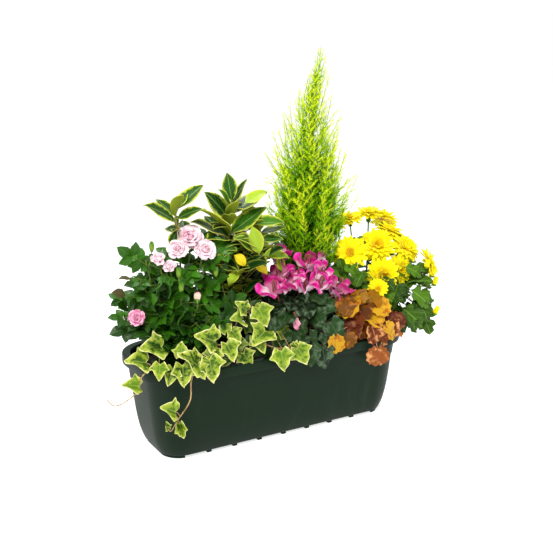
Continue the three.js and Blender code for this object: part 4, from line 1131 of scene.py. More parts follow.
@dataclass
class Compost:
    """The compost: its solid, dressed, and loose crumbs on it."""

    mound: float = 3.0
    crumbs: int = 1500
    edge: Section = Section(136, 468, 170, 52)
    seed: int = 5

    def surface(self, x: float, y: float) -> float:
        """Returns the height of the compost at a place."""
        slow = self.mound * math.sin(x / 27 + 1) * math.cos(y / 19)
        return self.edge.height + slow + 0.4 * self.mound * math.sin(x / 9 + y / 7)

    def inside(self, x: float, y: float) -> bool:
        """Returns whether a place lies within the trough's inner outline."""
        away_x = max(abs(x) - (self.edge.length / 2 - self.edge.corner), 0)
        away_y = max(abs(y) - (self.edge.width / 2 - self.edge.corner), 0)
        return math.hypot(away_x, away_y) < self.edge.corner

    def build(self) -> None:
        """Dresses the compost's solid and strews crumbs on it."""
        material = CompostFinish("compost", tint(16, 12, 9), tint(44, 34, 25)).material()
        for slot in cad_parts["soil"].material_slots:
            slot.material = material
        draw = random.Random(self.seed)
        pattern = crumb_pattern()
        stack = Stack()
        while len(stack.points) < self.crumbs:
            x = draw.uniform(-self.edge.length / 2, self.edge.length / 2)
            y = draw.uniform(-self.edge.width / 2, self.edge.width / 2)
            if not self.inside(x, y):
                continue
            size = draw.uniform(1.5, 5.5) * draw.uniform(0.5, 1.0)
            axes = upright(vec(draw.gauss(0, 1), draw.gauss(0, 1), draw.gauss(0, 1)), draw.uniform(0, 6))
            place = vec(x, y, self.surface(x, y) + 0.15 * size)
            stack.add(pattern, place, axes, size, tone=draw.random(), width=draw.uniform(0.6, 1.3))
        settle(stack.mesh("compost_crumbs", material), "soil")


# ------------------------------------------------------------------ plants


class Plant:
    """A plant's leaves and stems, gathered until they become pieces."""

    def __init__(self, seed: int) -> None:
        """Starts a bare plant with its own random draw."""
        self.leaves = Stack()
        self.stems = Stems()
        self.draw = random.Random(seed)

    def leaf(
        self, pattern: Pattern, base: Point, tip: Point, facing: Array, bend: Bend, tone: float,
        width: float = 1.0,
    ) -> None:
        """Adds a leaf that starts at its base and ends at its tip, whatever its arch.

        Args:
            pattern: the leaf's pattern.
            base: where its blade starts.
            tip: where it ends.
            facing: where its upper side looks.
            bend: how it is curved.
            tone: its shade, mostly from 0 to 1.
            width: its width, as a share of the pattern's.
        """
        start = vec(*base)
        chord = vec(*tip) - start
        x, y, z = basis(chord, facing).T
        half = bend.arch / 2
        ahead = y * math.cos(half) + z * math.sin(half)
        above = z * math.cos(half) - y * math.sin(half)
        stretch = half / math.sin(half) if abs(half) > 1e-3 else 1.0
        axes = np.stack([x, ahead, above], axis=1)
        self.leaves.add(pattern, start, axes, np.linalg.norm(chord) * stretch, bend, tone, width)

    def stalk(self, start: Array, end: Array, thickness: float, sag: float = 0.0) -> None:
        """Adds a thin stalk between two places, with a sag in millimetres."""
        middle = (start + end) / 2 + UP * sag
        self.stems.add([start, middle, end], [thickness, thickness * 0.8], 5)

    def wandering(self, amount: float) -> Array:
        """Returns a random step of up to an amount along each axis."""
        return vec(*(self.draw.uniform(-amount, amount) for _ in range(3)))

    def dress(self, slot: str, leaves: str, leaf: Material, stems: str, bark: Material, *nodes: str) -> None:
        """Makes the leaves a piece and the stems another.

        Args:
            slot: a material slot's name, which is passed on to settle.
            leaves: the name of the leaves' piece.
            leaf: the leaves' material.
            stems: the name of the stems' piece.
            bark: the stems' material.
            nodes: the CAD nodes that the leaves stand for.
        """
        settle(self.leaves.mesh(leaves, leaf), slot, *nodes)
        settle(self.stems.mesh(stems, bark), slot)


def scalloped(corners: int) -> list[tuple[float, float]]:
    """Returns the right half of a round leaf's outline, with a notch at its foot and a scalloped edge."""
    half = [(0.0, 0.16)]
    for i in range(1, corners):
        angle = math.pi * (i / (corners - 1) - 0.5)
        radius = 0.5 * (1.05 if i % 2 else 0.93)
        half.append((radius * math.cos(angle) if i < corners - 1 else 0.0, 0.49 + radius * math.sin(angle)))
    return half


class Shapes:
    """The patterns that the plants share."""

    def __init__(self) -> None:
        """Models every pattern once."""
        self.ivy = lobed_pattern(
            (
                (0, 0.1), (0.24, -0.08), (0.4, 0.1), (0.45, 0.2), (0.6, 0.34), (0.36, 0.46), (0.24, 0.68),
                (0, 1),
            ),
            heart=0.26, cuts=3,
        )
        self.heart = lobed_pattern(
            (
                (0, 0.1), (0.24, -0.06), (0.4, 0.06), (0.47, 0.24), (0.45, 0.42), (0.4, 0.6), (0.22, 0.82),
                (0, 1),
            ),
            heart=0.3, cuts=3,
        )
        self.round_lobed = lobed_pattern(scalloped(13), heart=0.4, cuts=2)
        self.oak_lobed = lobed_pattern(
            (
                (0, 0), (0.07, 0.1), (0.24, 0.15), (0.3, 0.27), (0.2, 0.37), (0.34, 0.47), (0.37, 0.62),
                (0.21, 0.67), (0.2, 0.86), (0.09, 0.97), (0, 1),
            ),
            heart=0.45, cuts=2,
        )
        self.oval = blade_pattern(
            (
                (0, 0.01), (0.06, 0.016), (0.14, 0.09), (0.3, 0.19), (0.5, 0.235), (0.7, 0.2), (0.88, 0.095),
                (1, 0),
            ),
            rows=12, columns=6, thickness=0.014,
        )
        self.leaflet = blade_pattern(
            ((0, 0.03), (0.12, 0.19), (0.3, 0.3), (0.5, 0.32), (0.7, 0.26), (0.88, 0.12), (1, 0)),
            rows=6, columns=2, thickness=0.03,
        )
        self.strap = blade_pattern(
            ((0, 0.05), (0.25, 0.1), (0.6, 0.145), (0.85, 0.13), (0.95, 0.085), (1, 0.03)),
            rows=5, columns=2, thickness=0.035,
        )
        self.petal = blade_pattern(
            ((0, 0.12), (0.2, 0.3), (0.5, 0.5), (0.75, 0.54), (0.9, 0.44), (0.97, 0.28), (1, 0.14)),
            rows=8, columns=6, thickness=0.03,
        )
        self.reflexed = blade_pattern(
            ((0, 0.14), (0.15, 0.22), (0.4, 0.34), (0.62, 0.4), (0.82, 0.34), (0.94, 0.2), (1, 0.06)),
            rows=10, columns=6, thickness=0.025,
        )
        self.egg = egg_pattern()
        self.twig = twig_pattern(11, random.Random(3))


SHARED: list[Shapes] = []


def plant_shapes() -> Shapes:
    """Returns the shared patterns, which are modelled at the first call."""
    if not SHARED:
        SHARED.append(Shapes())
    return SHARED[0]


@dataclass
class Cypress:
    """The golden cypress: a trunk, upright sprays of fine twigs and an airy tip.

    The tables go by height. The layers have a name, the shares of the reach where they start and
    end, and a number of sprays.
    """

    foot: Point = (112, 28, 130)
    tip: Point = (124, 30, 655)
    lowest: float = 208.0
    highest: float = 652.0
    layers: tuple[tuple[str, float, float, int], ...] = (
        ("inner", 0.1, 0.5, 250), ("middle", 0.5, 0.84, 320), ("outer", 0.84, 1.06, 310),
    )
    envelope: Rows = (
        (185, 30), (215, 48), (300, 67), (390, 74), (470, 67), (520, 57), (572, 32), (606, 19), (640, 6),
        (660, 2),
    )
    thinning: Rows = ((200, 1.3), (400, 1.15), (470, 0.7), (540, 0.45), (652, 0.6))
    sway: Rows = ((130, 0), (230, -15), (555, -15), (605, -3), (655, 9))
    twig_size: Rows = ((420, 1.0), (560, 0.8))
    # Painted shade: how far the needles' tone drops at each height, so the crown is darker low down.
    painted_shade_by_height: Rows = ((230, 0.72), (400, 0.14), (520, -0.2), (640, -0.4))
    open_above: float = 440.0
    neat_above: float = 560.0
    crowded_below: float = 320.0
    neighbours: Point = (0.8, -0.6, 0)
    depth: float = 0.82
    rise: Span = (36, 78)
    twig_spacing: float = 6.2
    seed: int = 11

    def axis(self, height: float) -> Array:
        """Returns the place on the trunk at a height."""
        foot = vec(*self.foot)
        whole = vec(*self.tip) - foot
        return foot + whole * (height - foot[2]) / whole[2] + vec(read_off(self.sway, height), 0, 0)

    def spray(self, plant: Plant, top: float, around: float, share: float) -> None:
        """Adds one upright spray.

        Args:
            plant: what it is added to.
            top: the height of its tip.
            around: the way that it leans, in radians.
            share: how far out it ends, as a share of the reach.
        """
        draw = plant.draw
        outward = vec(math.cos(around), self.depth * math.sin(around), 0)
        radius = read_off(self.envelope, top) * share
        if top < self.crowded_below and outward @ vec(*self.neighbours) > 0.4:
            radius *= 0.74
        rise = min(draw.uniform(*self.rise), top - self.foot[2] - 14)
        start = self.axis(top - rise) + outward * radius * 0.45
        elbow = self.axis(top - rise * 0.6) + outward * radius * 0.8
        end = self.axis(top) + outward * radius + plant.wandering(4 if top > self.neat_above else 8)
        steps = max(int(rise / self.twig_spacing), 4)
        line = plant.stems.add([start, elbow, end], [0.7, 0.3], steps + 1)
        flat = unit(np.cross(end - start, outward) + plant.wandering(0.5))
        for i in range(1, len(line)):
            along = i / steps
            ahead = unit(line[i] - line[i - 1])
            side = flat * (1 if i % 2 else -1) + outward * draw.uniform(-0.1, 0.4)
            way = ahead if i == steps else unit(ahead + side * draw.uniform(0.5, 1.05) + plant.wandering(0.2))
            length = lerp(24, 13, along) * draw.uniform(0.8, 1.2) * read_off(self.twig_size, top)
            # The tone rises out on the crown and towards each spray's tip and drops low down: partly the
            # foliage's own colour, partly painted shade.
            lit = share * (0.5 + 0.6 * along) + draw.uniform(-0.14, 0.14)
            tone = float(np.clip(lit - read_off(self.painted_shade_by_height, line[i][2]), 0, 1))
            facing = outward + plant.wandering(0.4)
            bend = Bend(draw.uniform(-0.4, 0.1))
            plant.leaves.add(plant_shapes().twig, line[i], basis(way, facing), length, bend, tone)

    def build(self) -> None:
        """Grows the sprays from the inside out and dresses them."""
        finish = NeedleFinish("cypress_needles", tint(20, 84, 4), tint(126, 188, 8), tint(220, 236, 34))
        bark = StemFinish("cypress_bark", tint(86, 110, 30), tint(150, 180, 50)).material()
        needles = finish.material()
        heights = np.linspace(self.lowest, self.highest, 200)
        crowd = np.array([(read_off(self.envelope, at) + 5) * read_off(self.thinning, at) for at in heights])
        crowd = np.cumsum(crowd) / crowd.sum()
        for part, (name, low, high, count) in enumerate(self.layers):
            plant = Plant(self.seed + part)
            for i in range(count):
                top = float(np.interp((i + 0.5) / count, crowd, heights))
                around = (i + 0.3 * part) * GOLDEN_ANGLE + plant.draw.uniform(-0.3, 0.3)
                if top > self.open_above:
                    around = round(around * 1.2) / 1.2 + top / 90
                uneven = 1 + 0.12 * math.sin(3 * around + top / 27)
                self.spray(plant, top, around, plant.draw.uniform(low, high) * uneven)
            if name == "inner":
                knee = self.axis(300) + vec(2, 1, 0)
                plant.stems.add([self.foot, knee, self.axis(600)], [5.5, 4, 1], 14)
            sprays = f"cypress_sprays_{name}"
            plant.dress("cypress", sprays, needles, f"cypress_twigs_{name}", bark, "cypress")


@dataclass(frozen=True)
class Ivy:
    """A trailing ivy: its trails, its large leaves by place, and small ones along the trails."""

    node: str
    foot: Point
    trails: tuple[tuple[Point, ...], ...]
    leaves: Rows
    seed: int
    shaded: Rows = ()
    bare: tuple[int, ...] = ()
    folded_below: float = 70.0
    facing: Point = (-0.25, -0.8, 0.75)

    def build(self, leaf: Material, bark: Material) -> None:
        """Grows the ivy.

        Args:
            leaf: the material of its leaves.
            bark: the material of its trails.
        """
        plant = Plant(self.seed)
        draw = plant.draw
        pattern = plant_shapes().ivy
        lines = [plant.stems.add([self.foot, *trail], [1.5, 1.1, 0.7], 26) for trail in self.trails]
        spots = np.concatenate(lines)
        facing = vec(*self.facing)
        for base, tip in ends(self.leaves):
            folded = tip[2] < self.folded_below
            fold = 1.5 if folded else draw.uniform(0.15, 0.45)
            bend = Bend.drawn(draw, (0.3, 0.8), fold, 0, 0.045, 2, (-0.3, 0.3))
            width = 0.6 if folded else draw.uniform(0.9, 1.05)
            face = facing + plant.wandering(0.28)
            plant.leaf(pattern, base, tip, face, bend, draw.uniform(-0.1, 1.0), width)
            plant.stalk(spots[nearest(spots, base)], lerp(base, tip, 0.1), 0.7, 3)
        for base, tip in ends(self.shaded):
            bend = Bend.drawn(draw, (0.3, 0.8), 0.3, 0, 0.04, 2, (-0.3, 0.3))
            plant.leaf(pattern, base, tip, facing + plant.wandering(0.3), bend, draw.uniform(-0.9, -0.2))
            plant.stalk(spots[nearest(spots, base)], base, 0.6, 3)
        for number, line in enumerate(lines):
            for i in () if number in self.bare else (len(line) - 1, len(line) - 3):
                ahead = unit(line[i] - line[i - 1])
                side = unit(np.cross(ahead, vec(0, -0.7, 0.7))) * (1 if i % 2 else -1)
                way = unit(ahead + side * draw.uniform(0.2, 0.7) + vec(0, -0.2, 0.1))
                base = line[i] + way * 2
                tip = base + way * draw.uniform(8, 13)
                bend = Bend.drawn(draw, (0.2, 0.9), (0.6, 1.3), 0, 0.02, 2, (-0.3, 0.3))
                plant.leaf(pattern, base, tip, facing + plant.wandering(0.4), bend, draw.random())
        plant.dress("ivy_leaf", f"{self.node}_leaves", leaf, f"{self.node}_trails", bark, self.node)


IVY_LEFT = Ivy(
    "ivy_left",
    (-196, -52, 132),
    (
        (
            (-192, -80, 166), (-190, -106, 172), (-198, -114, 150), (-200, -113, 120), (-222, -113, 92),
            (-233, -113, 77), (-239, -112, 84),
        ),
        (
            (-224, -68, 166), (-246, -92, 178), (-272, -101, 170), (-277, -100, 150), (-286, -98, 140),
            (-305, -98, 131), (-318, -98, 131), (-328, -98, 143),
        ),
    ),
    (
        (-226, -76, 200, -270, -84, 207), (-258, -90, 184, -298, -96, 196),
        (-244, -106, 188, -249, -111, 161), (-210, -108, 182, -210, -114, 144),
        (-180, -112, 168, -222, -116, 202), (-187, -112, 176, -176, -118, 152),
        (-166, -110, 186, -160, -115, 142), (-276, -102, 154, -306, -101, 162),
        (-224, -114, 106, -252, -117, 122), (-220, -115, 90, -213, -116, 62),
        (-206, -96, 186, -196, -78, 206), (-222, -104, 176, -236, -112, 150),
    ),
    61,
    bare=(1,),
)

IVY_MIDDLE = Ivy(
    "ivy_middle",
    (-96, -58, 132),
    (
        ((-92, -80, 166), (-66, -92, 184), (-38, -106, 176), (-10, -106, 174)),
        ((-112, -76, 168), (-124, -92, 190), (-146, -90, 196), (-160, -86, 200)),
        ((-100, -68, 176), (-94, -64, 214), (-70, -64, 232), (-54, -64, 240)),
    ),
    (
        (-50, -88, 204, -88, -108, 188), (-36, -110, 176, -32, -116, 138), (-6, -110, 176, 12, -115, 142),
        (-130, -98, 200, -121, -110, 168), (-142, -92, 200, -180, -88, 216),
        (-116, -78, 208, -124, -62, 224), (-108, -74, 210, -98, -90, 190), (-74, -68, 234, -96, -66, 254),
        (-54, -66, 240, -44, -80, 206), (-86, -72, 222, -114, -82, 230), (-150, -100, 192, -160, -110, 166),
        (-70, -84, 196, -62, -104, 170),
    ),
    62,
    shaded=(
        (-60, -70, 176, -40, -84, 152), (-84, -72, 190, -70, -82, 158), (-30, -82, 184, -20, -92, 156),
        (-44, -64, 200, -20, -70, 180), (-100, -76, 196, -106, -88, 164), (-74, -56, 214, -52, -62, 190),
        (-20, -76, 196, -2, -84, 172), (-118, -84, 180, -134, -96, 156), (-60, -50, 236, -34, -56, 214),
        (-90, -50, 240, -112, -58, 222), (-6, -92, 172, 6, -100, 148), (-96, -90, 176, -84, -100, 150),
        (-106, -40, 232, -98, -46, 204), (-74, -38, 236, -62, -46, 208), (-88, -40, 216, -100, -50, 190),
        (-54, -38, 216, -44, -48, 188), (-120, -46, 216, -108, -54, 190),
    ),
)


@dataclass(frozen=True)
class Sprig:
    """A stem of the shrub and its leaves: how far up each grows, and where it ends."""

    stem: tuple[Point, ...]
    leaves: Rows


@dataclass
class Shrub:
    """The variegated evergreen shrub, by its sprigs, its single leaves and its inner shoots."""

    foot: Point = (-62, 22, 128)
    waist: Point = (-62, 18, 200)
    fork: Point = (-66, 16, 262)
    sprigs: tuple[Sprig, ...] = (
        Sprig(
            ((-112, 10, 308), (-160, 2, 362), (-166, 0, 400)),
            (
                (0.75, -222, -4, 412), (1, -112, 10, 434), (0.8, -132, -28, 402), (0.55, -126, 16, 356),
                (0.6, -182, -12, 342), (0.85, -186, 34, 414), (0.9, -168, -34, 428), (0.3, -104, 36, 352),
            ),
        ),
        Sprig(
            ((-66, 8, 318), (-70, 2, 350), (-60, 8, 408)),
            (
                (1, -66, 14, 452), (0.97, -36, 0, 440), (0.8, 14, 20, 412), (0.55, -6, -12, 392),
                (0.7, -72, -34, 412), (0.75, -112, 8, 424), (0.9, -92, -4, 428), (0.5, -134, -24, 400),
                (0.4, -142, -2, 378), (0.3, -128, -34, 352), (0.65, -60, 56, 404), (0.35, -92, 52, 376),
                (0.3, -58, -48, 352), (0.2, -98, -38, 322), (0.15, -46, 48, 348),
            ),
        ),
        Sprig(
            ((-38, 2, 302), (-26, -8, 322), (-12, -2, 352)),
            (
                (0.95, 34, -10, 354), (1, -34, -32, 376), (0.5, 26, -26, 306), (0.4, -84, -42, 350),
                (0.8, 18, -28, 338), (0.9, -18, 40, 392), (0.6, 14, 24, 330), (0.3, -28, -50, 300),
            ),
        ),
    )
    young: Rows = (
        (-31, -30, 318, -44, -30, 367), (-25, -30, 314, 24, -36, 305), (-44, -30, 321, -83, -40, 352),
        (-36, -20, 366, 18, -30, 365), (-53, -20, 402, -13, -26, 421), (6, -30, 312, 12, -36, 284),
        (-92, -30, 312, -114, -36, 324), (-67, -30, 295, -93, -40, 273),
    )
    side_shoots: tuple[Point, ...] = (
        (-96, -6, 330), (-40, 30, 330), (-86, 40, 330), (-20, -20, 300), (-70, -34, 290), (-30, 20, 270),
        (-90, 20, 260), (-54, -30, 250), (-104, 2, 290), (-36, -12, 240), (-60, -6, 302), (-20, 6, 288),
        (-82, 0, 272), (-6, 12, 264), (-52, -8, 262), (-92, -8, 238), (-26, -18, 238), (-112, 10, 256),
        (-47, 6, 322), (-26, 4, 312), (-74, 6, 304), (-45, 0, 296),
    )
    golden: Rows = (
        (-79, -30, 322, -61, -38, 303), (-44, -30, 306, -21, -40, 284), (-98, -20, 300, -112, -30, 318),
    )
    small: int = 170
    # Painted shade: how far the small leaves' tone drops at each height, darker low in the bush.
    painted_shade_by_height: Rows = ((260, 0.9), (350, 0.1))
    seed: int = 31

    def shoots(self, plant: Plant, pattern: Pattern) -> list[Array]:
        """Grows the stems, with the leaves of the sprigs on them.

        Args:
            plant: what they are added to.
            pattern: the leaf.

        Returns:
            The curves of the stems.
        """
        draw = plant.draw
        plant.stems.add([self.foot, self.waist, self.fork], [4.0, 3.0], 10)
        lines = []
        for sprig in self.sprigs:
            line = plant.stems.add([self.fork, *sprig.stem], [2.4, 1.8, 1.3], 24)
            lines.append(line)
            for share, *tip in sprig.leaves:
                base = line[int(lerp(0.35, 0.97, share) * (len(line) - 1))]
                facing = UP * 0.9 + TO_VIEW * 0.5 + plant.wandering(0.2)
                bend = Bend.drawn(draw, (0.15, 0.6), (0.15, 0.4), 0, 0.02, 1.5, (-0.25, 0.25))
                plant.leaf(pattern, base, tip, facing, bend, draw.random(), draw.uniform(0.95, 1.15))
        for i, shoot in enumerate(self.side_shoots):
            root = vec(*self.fork) - UP * 6 * i
            lines.append(plant.stems.add([root, (root + vec(*shoot)) / 2 + UP * 4, shoot], [1.8, 1.1], 12))
        return lines

    def build(self) -> None:
        """Grows the shrub."""
        plant = Plant(self.seed)
        draw = plant.draw
        pattern = plant_shapes().oval
        lines = self.shoots(plant, pattern)
        for base, tip in ends(self.young):
            bend = Bend.drawn(draw, (0.3, 0.9), (0.2, 0.5), 0, 0.03, 1.5, (-0.3, 0.3))
            plant.leaf(pattern, base, tip, UP + TO_VIEW, bend, draw.uniform(1.2, 1.8), 1.1)
        for i in range(self.small):
            line = lines[i % len(lines)]
            base = line[draw.randrange(4, len(line))]
            tip = base + unit(toward(i * GOLDEN_ANGLE, draw.uniform(0.0, 0.9))) * draw.uniform(30, 54)
            bend = Bend.drawn(draw, (0.2, 0.9), (0.15, 0.45), 0, 0.03, 1.5, (-0.3, 0.3))
            # Small leaves low in the bush are darker, as painted shade.
            tone = draw.random() - read_off(self.painted_shade_by_height, base[2])
            plant.leaf(pattern, base, tip, UP + TO_VIEW * 0.4, bend, tone, 1.1)
        bright = Plant(self.seed + 1)
        for base, tip in ends(self.golden):
            bend = Bend.drawn(bright.draw, (0.3, 0.9), 0.5, 0, 0.03, 1.5, (-0.3, 0.3))
            bright.leaf(pattern, base, tip, UP + TO_VIEW, bend, tone=0.7, width=1.5)
        finish = LeafFinish(
            "shrub_leaf", dark=tint(10, 48, 10), light=tint(50, 106, 16), under=tint(130, 144, 36),
            vein=tint(160, 190, 100), margin=tint(184, 194, 58), margin_from=0.8, margin_soft=0.2, ragged=0.7,
            young=tint(158, 186, 44), rim=tint(212, 212, 92), roughness=0.3, gloss=0.16, vein_pairs=7,
            vein_depth=0.4,
        )
        gold = LeafFinish(
            "shrub_golden_leaf", dark=tint(176, 160, 20), light=tint(238, 214, 40), under=tint(220, 200, 60),
            vein=tint(196, 180, 40), vein_depth=0.4,
        )
        settle(bright.leaves.mesh("shrub_golden_leaves", gold.material()), "shrub_leaf")
        bark = StemFinish("shrub_bark", tint(96, 74, 40), tint(160, 140, 84)).material()
        plant.dress("shrub_leaf", "shrub_leaves", finish.material(), "shrub_stems", bark, "variegated_shrub")


@dataclass(frozen=True)
class Bloom:
    """A double bloom that stands on a CAD node's place: rings of petals round an axis."""

    node: str
    radius: float
    axis: Point
    seed: int

    def ring(
        self, stack: Stack, pattern: Pattern, count: int, rise: float, length: float, bend: Bend, tone: float,
        draw: random.Random, start: float, width: float,
    ) -> None:
        """Adds a ring of petals.

        Args:
            stack: what they are added to.
            pattern: the petal.
            count: how many.
            rise: how steeply they stand, in radians.
            length: as a share of the bloom's radius.
            bend: how each is curved.
            tone: their shade.
            draw: where the jitter comes from.
            start: how far from the axis they begin, as a share of the radius.
            width: their width, as a share of the pattern's.
        """
        axes = upright(vec(*self.axis))
        turn = draw.uniform(0, 6)
        for i in range(count):
            outward = toward(turn + (i + draw.uniform(-0.2, 0.2)) * CIRCLE / count)
            steep = rise + draw.uniform(-0.14, 0.14)
            way = outward * math.cos(steep) + UP * math.sin(steep)
            face = UP * math.cos(steep) - outward * math.sin(steep)
            size = self.radius * length * draw.uniform(0.92, 1.06)
            arch = bend.arch + draw.uniform(-0.12, 0.12)
            twist = bend.twist + draw.uniform(-0.12, 0.12)
            curve = replace(bend, arch=arch, twist=twist, phase=draw.uniform(0, 6))
            shade = float(np.clip(tone + draw.uniform(-0.15, 0.15), 0, 1))
            origin = axes @ (outward * self.radius * start)
            stack.add(pattern, origin, axes @ basis(way, face), size, curve, shade, width)


@dataclass(frozen=True)
class RoseBloom(Bloom):
    """A miniature rose. Rings have a count, a rise, a length, an arch and a tone."""

    open: float = 1.0
    forward: float = 0.0
    bud_below: float = 0.3
    open_rings: Rows = (
        (6, 0.05, 1.0, -0.1, 0.85), (6, 0.35, 0.95, -0.3, 0.8), (6, 0.65, 0.86, -0.45, 0.7),
        (5, 0.95, 0.72, -0.6, 0.5), (5, 1.15, 0.6, -0.7, 0.35), (4, 1.3, 0.46, -0.8, 0.2),
    )
    bud_rings: Rows = (
        (5, 1.25, 1.5, -0.5, 0.85), (4, 1.36, 1.45, -0.4, 0.7), (3, 1.45, 1.3, -0.3, 0.6),
    )

    @property
    def is_bud(self) -> bool:
        """Returns whether it is still a bud."""
        return self.open < self.bud_below

    def build(self, petals: Material, slot: str) -> Array:
        """Makes the bloom on its node.

        Args:
            petals: the material of its petals.
            slot: a material slot's name, which is passed on to settle.

        Returns:
            The middle of the bloom.
        """
        draw = random.Random(self.seed)
        stack = Stack()
        petal = plant_shapes().petal
        close = (1 - self.open) * 1.1
        rings = self.bud_rings if self.is_bud else self.open_rings
        for k, (count, rise, length, arch, tone) in enumerate(rings):
            if self.is_bud:
                self.ring(stack, petal, count, rise, length, Bend(arch, cup=1.2), tone, draw, 0.2, 0.5)
                continue
            bend = Bend(arch, cup=0.4, wave=0.13, waves=1.6)
            steep = min(rise + close, 1.45) + draw.uniform(-0.1, 0.1)
            tall = length * (1 + 0.35 * close)
            self.ring(stack, petal, count, steep, tall, bend, tone, draw, 0.05 + 0.03 * (5 - k), 0.95)
        middle = centre_of_node(self.node) + TO_VIEW * self.forward
        stack.centre_on(middle)
        settle(stack.mesh(f"{self.node}_petals", petals), slot, self.node)
        return middle


@dataclass(frozen=True)
class MumBloom(Bloom):
    """A chrysanthemum head with strap petals in rings and a domed eye.

    Rings have a count, a rise, a length, an arch and a tone.
    """

    layers: int
    outer_rings: Rows = (
        (17, -0.1, 1.0, 0.25, 0.95), (17, 0.12, 0.98, 0.15, 0.9), (15, 0.34, 0.88, -0.1, 0.85),
    )
    full_rings: Rows = ((14, 0.58, 0.78, -0.4, 0.75), (12, 0.85, 0.62, -0.7, 0.6))
    inner_rings: Rows = ((11, 0.75, 0.4, -0.7, 0.4), (9, 1.1, 0.28, -0.9, 0.2))
    florets: int = 26
    floret: float = 0.14

    def build(self, petals: Material) -> Array:
        """Makes the head on its node.

        Args:
            petals: the material of its petals.

        Returns:
            The middle of the head.
        """
        draw = random.Random(self.seed)
        stack = Stack()
        shapes = plant_shapes()
        rings = (*self.outer_rings, *(self.full_rings if self.layers > 2 else ()), *self.inner_rings)
        for count, rise, length, arch, tone in rings:
            bend = Bend(arch, fold=0.25, waves=1.0)
            self.ring(stack, shapes.strap, count, rise, length, bend, tone, draw, start=0.06, width=1.05)
        axes = upright(vec(*self.axis))
        for i in range(self.florets):
            outward = toward(i * GOLDEN_ANGLE)
            away = self.radius * self.floret * math.sqrt(i / self.florets)
            spot = axes @ (outward * away + UP * self.radius * 0.1)
            way = axes @ (outward * 0.4 + UP)
            stack.add(shapes.egg, spot, basis(way, vec(0.3, -1, 0.2)), self.radius * self.floret, tone=0.05)
        middle = centre_of_node(self.node)
        stack.centre_on(middle)
        settle(stack.mesh(f"{self.node}_petals", petals), "mum_petal", self.node)
        return middle


